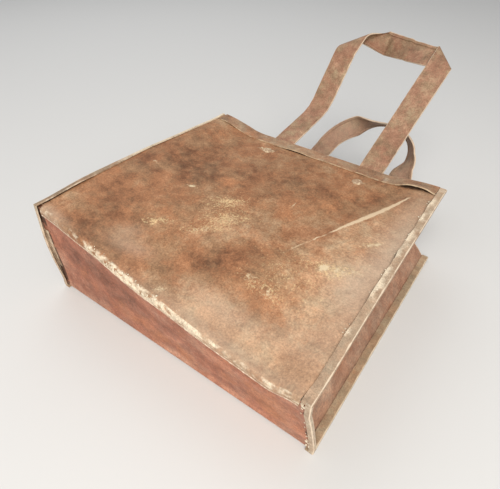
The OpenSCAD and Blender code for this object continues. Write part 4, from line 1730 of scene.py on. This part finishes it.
@dataclass
class BackHandle(StrapHandle):
    """The back handle: one arched strap that turns edge on near its top and stays so down to its right leg.

    The turns are pairs of the angle round the arch and the turn of the strap there. The right leg has turned
    fully from the untwist share of its length down.
    """

    arch: float = 50.0
    turn: float = 20.0
    close: float = 8.0
    bulge: float = 9.0
    turns: tuple[tuple[float, float], ...] = ((0, 0), (50, 25), (85, 105), (160, 120), (180, 150))
    arch_steps: int = 64
    leg_steps: int = 24
    untwist: float = 0.875

    def build(self) -> None:
        """Make the strap."""
        legs = np.linspace(self.leg_start, self.leg, self.leg_steps)[:-1]
        local = Ribbon()
        for u in legs:
            self.station(local, (self.close * u / self.leg - SIZES.foot_x, u, 0), (0, 1, 0), 0)
        half = SIZES.foot_x - self.close / 2
        for a in np.linspace(0, math.pi, self.arch_steps + 1):
            run = (half * math.sin(a), self.arch * math.cos(a), 0)
            middle = (SIZES.foot_x - half * (1 + math.cos(a)), self.leg + self.arch * math.sin(a), 0)
            turn = np.interp(math.degrees(a), *zip(*self.turns))
            self.station(local, middle, run, math.radians(turn))
        for u in legs[::-1]:
            out = SIZES.foot_x + self.bulge * math.sin(math.pi * u / self.leg)
            last = math.radians(self.turns[-1][1])
            turn = np.interp(u, (self.untwist * self.leg, self.leg), (math.pi, last))
            self.station(local, (out, u, 0), (0, -1, 0), turn)
        strap = self.joined(local).shell(1, dark=0.1, dust=0.3)
        Piece("back_strap", [strap], self.finish).bent(
            Body.BACK_HANDLE, self.place, "rusted_strap", "back_handle", "back_handle_tails"
        )

    def station(self, route: Ribbon, middle: Sequence[float], run: Sequence[float], turn: float) -> None:
        """Add a station of the arch.

        Args:
            route: Route to add to.
            middle: Middle of the strap.
            run: Direction of the strap.
            turn: How far the strap has turned about the arch, in radians.
        """
        way = np.asarray(run, float) / np.linalg.norm(run)
        back = math.radians(self.turn)
        flat = np.array([-math.cos(turn), -math.sin(back) * math.sin(turn), math.cos(back) * math.sin(turn)])
        square = flat - (flat @ way) * way
        across = square / np.linalg.norm(square) * SIZES.strap_width / 2
        face = np.cross(way, across)
        route.add(np.subtract(middle, across), np.add(middle, across), face / np.linalg.norm(face))


class Scatter:
    """Geometry node tree that dresses a mesh of seed points or paths, and its plain result."""

    def __init__(self, name: str, inputs: dict[str, float | int]) -> None:
        """Start a tree.

        Args:
            name: Name of the tree.
            inputs: Sizes by name, with the values that they get.
        """
        self.tree = bpy.data.node_groups.new(name, "GeometryNodeTree")
        self.values: dict[str, float | int] = {}
        face = self.tree.interface
        face.new_socket(name="Geometry", in_out="INPUT", socket_type="NodeSocketGeometry")
        for key, value in inputs.items():
            kind = "NodeSocketInt" if isinstance(value, int) else "NodeSocketFloat"
            self.values[face.new_socket(name=key, in_out="INPUT", socket_type=kind).identifier] = value
        finish = face.new_socket(name="Finish", in_out="INPUT", socket_type="NodeSocketMaterial")
        self.finish = finish.identifier
        face.new_socket(name="Geometry", in_out="OUTPUT", socket_type="NodeSocketGeometry")
        self.wiring = Wiring(self.tree)
        self.inputs = self.tree.nodes.new("NodeGroupInput").outputs

    def attribute(self, name: str, kind: str = "FLOAT") -> bpy.types.NodeSocket:
        """Value that the seed mesh carries at its points."""
        return self.wiring.out("GeometryNodeInputNamedAttribute", {"Name": name}, data_type=kind)

    def roughened(self, geometry: bpy.types.NodeSocket, depth: object, scale: object) -> bpy.types.NodeSocket:
        """Geometry whose points are pushed in and out by a noise.

        Args:
            geometry: Geometry to roughen.
            depth: How far the points move.
            scale: Fineness of the noise.

        Returns:
            The roughened geometry.
        """
        w = self.wiring
        place = w.out("GeometryNodeInputPosition")
        push = w.times(w.swing(place, scale, 3.0, 0.6), depth)
        offset = w.moved("SCALE", w.out("GeometryNodeInputNormal"), push)
        return w.out("GeometryNodeSetPosition", {"Geometry": geometry, "Offset": offset})

    def finished(self, geometry: bpy.types.NodeSocket, depth: object, scale: object) -> None:
        """End the tree: real points, roughened, smooth and with the finish."""
        w = self.wiring
        real = w.out("GeometryNodeRealizeInstances", {0: geometry})
        rough = self.roughened(real, depth, scale)
        smooth = w.out("GeometryNodeSetShadeSmooth", {0: rough})
        dressed = w.out("GeometryNodeSetMaterial", {"Geometry": smooth, "Material": self.inputs["Finish"]})
        self.tree.links.new(dressed, self.tree.nodes.new("NodeGroupOutput").inputs[0])

    def grown(self, name: str, seed: bpy.types.Mesh, finish: bpy.types.Material) -> bpy.types.Object:
        """Plain mesh object that the tree makes from a seed mesh.

        Args:
            name: Name of the object.
            seed: Mesh of the seed points or paths, in the frame's metres.
            finish: Material of the result.

        Returns:
            The object, without a modifier.
        """
        made = bpy.data.objects.new(name, seed)
        bpy.context.scene.collection.objects.link(made)
        modifier = made.modifiers.new("grow", "NODES")
        modifier.node_group = self.tree
        for identifier, value in self.values.items():
            modifier[identifier] = value
        modifier[self.finish] = finish
        bpy.context.view_layer.update()
        evaluated = made.evaluated_get(bpy.context.evaluated_depsgraph_get())
        mesh = bpy.data.meshes.new_from_object(evaluated)
        made.modifiers.clear()
        made.data = mesh
        mesh.name = name
        bpy.data.meshes.remove(seed)
        return made


def seed_mesh(name: str, points: Grid, chained: Sequence[int] = (), **values: Grid) -> bpy.types.Mesh:
    """Mesh of loose points or of paths, for a tree to work on.

    Args:
        name: Name of the mesh.
        points: Places in the box's millimetres.
        chained: Lengths of the paths, or nothing for loose points.
        values: Numbers or directions at the points, by name.

    Returns:
        The mesh, in the frame's metres.
    """
    mesh = bpy.data.meshes.new(name)
    starts = np.concatenate([[0], np.cumsum(chained)]).astype(int)
    edges = [(i, i + 1) for a, b in zip(starts[:-1], starts[1:]) for i in range(a, b - 1)]
    mesh.from_pydata(to_frame(points).tolist(), edges, [])
    for key, value in values.items():
        value = np.asarray(value, np.float32)
        kind, slot = ("FLOAT_VECTOR", "vector") if value.ndim == 2 else ("FLOAT", "value")
        mesh.attributes.new(key, kind, "POINT").data.foreach_set(slot, value.reshape(-1))
    return mesh


def path(x: float | Grid, y: float | Grid, z: float | Grid) -> Grid:
    """Points of a path, of which some coordinates may be the same for all."""
    return np.stack(np.broadcast_arrays(x, y, z), -1)


@dataclass
class RivetSet:
    """The rivets of both handles: a low uneven head outside and a hammered end on each tail."""

    finish: bpy.types.Material
    head: float = 5.6
    head_tall: float = 1.15
    back_tall: float = 0.5
    clench: float = 4.0
    clench_tall: float = 1.3
    shoulder: float = 1.7
    crown: float = 0.2
    uneven: float = 0.0024
    fineness: float = 420.0
    seed: int = 7

    def build(self) -> None:
        """Grow the rivets of both panels."""
        ends: list[tuple[Grid, Grid, float, float]] = []
        slope = SIZES.sag_slope
        fall = SIZES.strap + SIZES.lay_gap
        up, flat_up = np.array([0, math.sin(slope), math.cos(slope)]), np.array([0.0, 0.0, 1.0])
        y, flat_y = SIZES.height - SIZES.rivet_drop * math.cos(slope), SIZES.height - SIZES.rivet_drop
        for side in Side:
            x = SIZES.handle_x + side.value * SIZES.foot_x
            panel = SIZES.front_out - float(SIZES.sag(np.array(x), np.array(y)))
            ends += [
                (RACKING(np.array([x, y, panel])), up, self.head, self.head_tall),
                (np.array([x, y, panel - SIZES.sheet - fall]), -up, self.clench, self.clench_tall),
                (np.array([x, flat_y, SIZES.back_out]), -flat_up, self.head, self.back_tall),
                (np.array([x, flat_y, SIZES.back_in + fall]), flat_up, self.clench, self.clench_tall),
            ]
        places, axes, sizes, talls = (np.array(column) for column in zip(*ends))
        seeds = seed_mesh("rivet_seeds", places, axis=axes, size=sizes / 1000, tall=talls / 1000)
        rivets = self.tree().grown("crusted_rivets", seeds, self.finish)
        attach(rivets, Body.BOX.value)
        declared(rivets, "crusted_rivet", "front_rivets", "back_rivets")

    def tree(self) -> Scatter:
        """Tree that puts a pan-shaped head on every seed point, along its axis."""
        sizes = {"Shoulder": self.shoulder, "Uneven": self.uneven, "Fineness": self.fineness}
        grow = Scatter("rivet heads", {**sizes, "Seed": self.seed})
        w = grow.wiring
        ball = w.out("GeometryNodeMeshUVSphere", {"Segments": 40, "Rings": 24, "Radius": 1.0})
        split = w.add("ShaderNodeSeparateXYZ", {0: w.out("GeometryNodeInputPosition")}).outputs
        tall = w.math("MAXIMUM", w.times(split[2], grow.inputs["Shoulder"]), -0.25)
        tall = w.math("MINIMUM", tall, 1.0)
        crown = w.plus(w.times(tall, 1 - self.crown), w.times(split[2], self.crown))
        spot = w.out("ShaderNodeCombineXYZ", {0: split[0], 1: split[1], 2: crown})
        head = w.out("GeometryNodeSetPosition", {"Geometry": ball, "Position": spot})
        size = grow.attribute("size")
        scale = w.out("ShaderNodeCombineXYZ", {0: size, 1: size, 2: grow.attribute("tall")})
        axis = grow.attribute("axis", "FLOAT_VECTOR")
        turn = w.out("FunctionNodeAlignRotationToVector", {"Vector": axis}, axis="Z")
        range_end = {"Seed": grow.inputs["Seed"], 3: FULL_TURN}
        spin = w.add("FunctionNodeRandomValue", range_end, data_type="FLOAT")
        euler = w.out("ShaderNodeCombineXYZ", {2: spin.outputs[1]})
        own = w.out("FunctionNodeEulerToRotation", {0: euler})
        both = w.out("FunctionNodeRotateRotation", {0: turn, 1: own}, rotation_space="LOCAL")
        inputs = {"Points": grow.inputs["Geometry"], "Instance": head, "Rotation": both, "Scale": scale}
        heads = w.out("GeometryNodeInstanceOnPoints", inputs)
        grow.finished(heads, grow.inputs["Uneven"], grow.inputs["Fineness"])
        return grow


@dataclass(frozen=True)
class CrustRun:
    """Path that crust has grown along: its points before racking, their cover and the way out.

    The size is that of its grains beside the crust's own.
    """

    points: Grid
    cover: Grid
    axis: Triple
    size: float = 1.0


@dataclass
class SeamCrust:
    """The solder bead under the front panel's lip, and the whitish crust on the fold and the corners."""

    solder_finish: bpy.types.Material
    crust_finish: bpy.types.Material
    bead: float = 0.0009
    bead_uneven: float = 0.0009
    bead_fineness: float = 260.0
    bead_spacing: float = 0.0014
    grain: float = 0.0019
    grain_range: tuple[float, float] = (0.45, 1.15)
    grain_height: float = 0.4
    grain_uneven: float = 0.0012
    grain_fineness: float = 520.0
    spread: float = 0.0024
    drift: tuple[Triple, Triple] = ((-1.0, -0.1, -0.5), (1.0, 0.2, 0.5))
    count: int = 260
    seed: int = 11
    sunk: float = 0.3
    raised: float = 0.4
    strip_grain: float = 0.42

    def build(self) -> None:
        """Grow the bead and the crust."""
        bead = self.bead_tree().grown("solder_bead", self.bead_seed(), self.solder_finish)
        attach(bead, Body.BOX.value)
        declared(bead, "dull_solder", "seam_solder")
        runs = self.runs()
        counts = [len(run.points) for run in runs]
        seeds = seed_mesh(
            "crust_seeds", np.concatenate([RACKING(run.points) for run in runs]), counts,
            cover=np.concatenate([run.cover for run in runs]),
            axis=np.repeat([run.axis for run in runs], counts, axis=0),
            size=np.repeat([run.size for run in runs], counts),
        )
        crust = self.crust_tree().grown("seam_crust", seeds, self.crust_finish)
        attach(crust, Body.BOX.value)
        declared(crust, "dull_solder")

    def bead_seed(self) -> bpy.types.Mesh:
        """Path of the bead in the angle under the lip."""
        x = np.linspace(-SIZES.lap_half + 0.5, SIZES.lap_half - 0.5, 180)
        z = SIZES.front_out - SIZES.lip - 0.15
        return seed_mesh("bead_seed", RACKING(path(x, -0.35, z)), [len(x)])

    def runs(self) -> list[CrustRun]:
        """Paths of the crust: the front fold, the right edge of the bottom and the right front strip."""
        r = SIZES.fold_radius + SIZES.lay_gap + SIZES.sheet - self.sunk
        runs = []
        x = np.linspace(-135, 138, 220)
        patches = bell(x, -24, 42, 4) + 0.15 * bell(x, 48, 40)
        for degrees, strength in ((178, 0.75), (156, 0.55), (128, 0.35), (103, 0.2)):
            out = (0.0, math.cos(math.radians(degrees)), math.sin(math.radians(degrees)))
            line = path(x, SIZES.fold_radius + r * out[1], SIZES.fold_z + r * out[2])
            runs.append(CrustRun(line, strength * patches, out))
        z = np.linspace(4, 96, 90)
        cover = 0.4 * bell(z, 4, 14) + 0.35 * bell(z, 94, 7) + 0.05
        line = path(SIZES.half_width - 2.5 - 1000 * self.spread, SIZES.heel + 0.7, z)
        runs.append(CrustRun(line, cover, (0.0, -1.0, 0.0)))
        y = np.linspace(20, 262, 160)
        x = np.full_like(y, SIZES.half_width - SIZES.binding + self.raised)
        line = path(x, y, SIZES.front_out + self.raised - SIZES.sag(x, y))
        runs.append(CrustRun(line, 0.9 * crumbled(y) + 0.08, (0.0, 0.0, 1.0), self.strip_grain))
        return runs

    def bead_tree(self) -> Scatter:
        """Tree that draws an uneven bead along a path."""
        sizes = {"Radius": self.bead, "Uneven": self.bead_uneven, "Fineness": self.bead_fineness}
        grow = Scatter("solder bead", {**sizes, "Spacing": self.bead_spacing})
        w = grow.wiring
        curve = w.out("GeometryNodeMeshToCurve", {0: grow.inputs["Geometry"]})
        spaced = {"Curve": curve, "Length": grow.inputs["Spacing"]}
        dense = w.out("GeometryNodeResampleCurve", spaced, mode="LENGTH")
        ring = w.out("GeometryNodeCurvePrimitiveCircle", {"Resolution": 8, "Radius": grow.inputs["Radius"]})
        drawn = {"Curve": dense, "Profile Curve": ring, "Fill Caps": True}
        tube = w.out("GeometryNodeCurveToMesh", drawn)
        grow.finished(tube, grow.inputs["Uneven"], grow.inputs["Fineness"])
        return grow

    def crust_tree(self) -> Scatter:
        """Tree that scatters grains along paths, more and larger where the cover is thick."""
        sizes = {"Grain": self.grain, "Spread": self.spread, "Count": self.count, "Seed": self.seed}
        grow = Scatter("seam crust", {**sizes, "Uneven": self.grain_uneven})
        w, seed = grow.wiring, grow.inputs["Seed"]
        curve = w.out("GeometryNodeMeshToCurve", {0: grow.inputs["Geometry"]})
        points = w.out("GeometryNodeCurveToPoints", {"Curve": curve, "Count": grow.inputs["Count"]})
        cover = grow.attribute("cover")
        chance = w.add("FunctionNodeRandomValue", {"Seed": seed}, data_type="FLOAT").outputs[1]
        compared = {0: chance, 1: cover}
        bare = w.out("FunctionNodeCompare", compared, data_type="FLOAT", operation="GREATER_THAN")
        kept = w.out("GeometryNodeDeleteGeometry", {"Geometry": points, "Selection": bare}, domain="POINT")
        reach = {0: self.drift[0], 1: self.drift[1], "Seed": seed}
        drift = w.out("FunctionNodeRandomValue", reach, data_type="FLOAT_VECTOR")
        offset = w.moved("SCALE", drift, grow.inputs["Spread"])
        placed = w.out("GeometryNodeSetPosition", {"Geometry": kept, "Offset": offset})
        lump = w.out("GeometryNodeMeshIcoSphere", {"Radius": 1.0, "Subdivisions": 2})
        limits = {2: self.grain_range[0], 3: self.grain_range[1], "Seed": seed}
        size = w.add("FunctionNodeRandomValue", limits, data_type="FLOAT").outputs[1]
        whole = w.times(grow.inputs["Grain"], grow.attribute("size"))
        grown = w.times(size, w.times(whole, w.math("POWER", cover, 0.4)))
        axis = grow.attribute("axis", "FLOAT_VECTOR")
        own = w.out("FunctionNodeAlignRotationToVector", {"Vector": axis}, axis="Z")
        scale = w.out("ShaderNodeCombineXYZ", {0: grown, 1: grown, 2: w.times(grown, self.grain_height)})
        inputs = {"Points": placed, "Instance": lump, "Rotation": own, "Scale": scale}
        grains = w.out("GeometryNodeInstanceOnPoints", inputs)
        grow.finished(grains, grow.inputs["Uneven"], self.grain_fineness)
        return grow


@dataclass
class Studio:
    """Floor, soft lights and the camera at the photograph's place."""

    floor_colour: Colour = (0.62, 0.61, 0.59)
    floor_roughness: float = 0.9
    sky_colour: Colour = (0.95, 0.97, 1.0)
    sky_strength: float = 0.48
    eye: Triple = (182.0, -109.5, 311.5)
    pitch: float = 41.6
    yaw: float = -36.7
    focal: float = 390.0
    image_width: float = 500.0

    def build(self) -> None:
        """Set the floor, the lights and the camera."""
        self.floor()
        self.world()
        warm, cool = (1.0, 0.97, 0.93), (0.93, 0.96, 1.0)
        self.lamp("window", (0.75, -1.15, 1.3), (0.0, -0.03, 0.05), size=1.4, power=40.0, colour=warm)
        self.lamp("sky", (-1.1, 0.6, 1.6), (0.0, 0.0, 0.05), size=1.4, power=10.0, colour=cool)
        self.camera()
        bpy.context.scene.view_settings.view_transform = "Standard"

    def floor(self) -> None:
        """Plain pale floor under the box."""
        mesh = bpy.data.meshes.new("floor")
        far, low = 30.0, -0.0004
        corners = [(-far, -far, low), (far, -far, low), (far, far, low), (-far, far, low)]
        mesh.from_pydata(corners, [], [(0, 1, 2, 3)])
        ground = bpy.data.objects.new("floor", mesh)
        bpy.context.scene.collection.objects.link(ground)
        paint = bpy.data.materials.new("floor_paint")
        paint.use_nodes = True
        shader = paint.node_tree.nodes["Principled BSDF"]
        shader.inputs["Base Color"].default_value = (*self.floor_colour, 1)
        shader.inputs["Roughness"].default_value = self.floor_roughness
        mesh.materials.append(paint)

    def world(self) -> None:
        """Even light from all round."""
        world = bpy.data.worlds.new("studio")
        bpy.context.scene.world = world
        world.use_nodes = True
        sky = world.node_tree.nodes["Background"]
        sky.inputs["Color"].default_value = (*self.sky_colour, 1)
        sky.inputs["Strength"].default_value = self.sky_strength

    def lamp(
        self, name: str, place: Triple, target: Triple, size: float, power: float, colour: Colour
    ) -> None:
        """Square soft lamp.

        Args:
            name: Name of the lamp.
            place: Where it hangs, in metres.
            target: What it points at.
            size: Length of its side.
            power: Power in watts.
            colour: Colour of its light.
        """
        data = bpy.data.lights.new(name, "AREA")
        data.shape, data.size, data.energy, data.color = "SQUARE", size, power, colour
        lamp = bpy.data.objects.new(name, data)
        lamp.location = place
        lamp.rotation_euler = (Vector(target) - Vector(place)).to_track_quat("-Z", "Y").to_euler()
        bpy.context.scene.collection.objects.link(lamp)

    def camera(self) -> None:
        """Camera with the photograph's view."""
        data = bpy.data.cameras.new("camera")
        data.sensor_fit, data.sensor_width = "HORIZONTAL", 36.0
        data.lens = data.sensor_width * self.focal / self.image_width
        data.clip_start = 0.01
        camera = bpy.data.objects.new("camera", data)
        pitch, yaw = math.radians(self.pitch), math.radians(self.yaw)
        ahead = Vector((math.sin(yaw) * math.cos(pitch), math.cos(yaw) * math.cos(pitch), -math.sin(pitch)))
        right = Vector((math.cos(yaw), -math.sin(yaw), 0))
        turn = Matrix((right, right.cross(ahead), -ahead)).transposed()
        camera.matrix_world = Matrix.Translation(Vector(to_frame(self.eye))) @ turn.to_4x4()
        bpy.context.scene.collection.objects.link(camera)
        bpy.context.scene.camera = camera


PANEL = RustFinish(
    "rusted_front_panel", (0.13, 0.058, 0.026), (0.32, 0.165, 0.078), (0.49, 0.32, 0.182), creased=True,
    speck_density=0.2,
)
BASE = RustFinish(
    "rusted_base", (0.16, 0.062, 0.035), (0.35, 0.153, 0.093), (0.52, 0.28, 0.178), bare=(0.54, 0.30, 0.18),
    orange=(0.47, 0.19, 0.09), orange_share=0.3, streak_scale=(1.0, 1.0, 3.5), streak_turn=(0.0, 0.5, 0.0),
    streak_share=0.35, speck_density=0.05,
)
GUSSET = RustFinish(
    "rusted_gusset", (0.11, 0.042, 0.023), (0.31, 0.165, 0.098), (0.46, 0.29, 0.185),
    orange=(0.33, 0.14, 0.07),
)
STRIP = RustFinish(
    "worn_strip", (0.16, 0.10, 0.058), (0.31, 0.21, 0.125), (0.48, 0.36, 0.23),
    bare=(0.76, 0.62, 0.46), scale=22.0, wear_width=0.9, wear_cover=0.6, orange_share=0.1,
)
BACK_STRIP = RustFinish(
    "worn_back_strip", (0.18, 0.115, 0.062), (0.36, 0.252, 0.148), (0.51, 0.40, 0.25),
    bare=(0.70, 0.57, 0.41), scale=22.0, wear_width=0.9, wear_cover=0.6,
)
BAND = RustFinish(
    "rusted_band", (0.14, 0.078, 0.042), (0.31, 0.19, 0.108), (0.47, 0.335, 0.205), bare=(0.64, 0.50, 0.33),
    scale=20.0, wear_width=1.1, wear_cover=0.7,
)
STRAP = RustFinish(
    "rusted_strap", (0.13, 0.063, 0.037), (0.285, 0.162, 0.10), (0.43, 0.295, 0.19), bare=(0.66, 0.52, 0.38),
    orange=(0.36, 0.15, 0.08), scale=20.0, wear_width=1.0, wear_cover=0.7, orange_share=0.25,
    red_tint=(1.06, 0.95, 0.93), olive_tint=(0.94, 1.04, 0.98),
)
RIVET = CrustFinish("crusted_rivet", (0.36, 0.23, 0.14), (0.62, 0.48, 0.31), share=0.42)
CRUST = CrustFinish("pale_crust", (0.47, 0.36, 0.25), (0.75, 0.66, 0.50), share=0.58)
SOLDER = CrustFinish("dull_solder", (0.44, 0.30, 0.21), (0.70, 0.57, 0.43), share=0.5, roughness=0.65)


def main() -> None:
    """Build and dress the box, piece by piece, and set the studio."""
    logging.basicConfig(level=logging.INFO, format="%(name)s %(message)s")
    effects = EffectSet.build()
    FoldedBody(PANEL.material(effects), BASE.material(effects), GUSSET.material(effects)).build()
    SeamStrips(STRIP.material(effects), BACK_STRIP.material(effects)).build()
    MouthBands(BAND.material(effects)).build()
    strap = STRAP.material(effects)
    rise = SIZES.lay_gap + SIZES.strip + SIZES.strap + SIZES.bend_gap
    under = SIZES.lay_gap + SIZES.strap
    sin, cos = math.sin(SIZES.sag_slope), math.cos(SIZES.sag_slope)
    front_edge = SIZES.front_in - SIZES.mouth_sag
    front_bend = (SIZES.height + rise * cos - under * sin, front_edge - rise * sin - under * cos)
    back_bend = (SIZES.height + rise, SIZES.back_in + under)
    front_handle = FrontHandle(
        strap, leg=142.0, tilt=35.0, lean=5.0, bend=front_bend, tail_slope=SIZES.sag_slope
    )
    front_handle.build()
    BackHandle(strap, leg=88.0, tilt=40.0, lean=12.0, bend=back_bend, tail_slope=0.0).build()
    RivetSet(RIVET.material(effects)).build()
    SeamCrust(SOLDER.material(effects), CRUST.material(effects)).build()
    Studio().build()


if __name__ == "__main__":
    main()
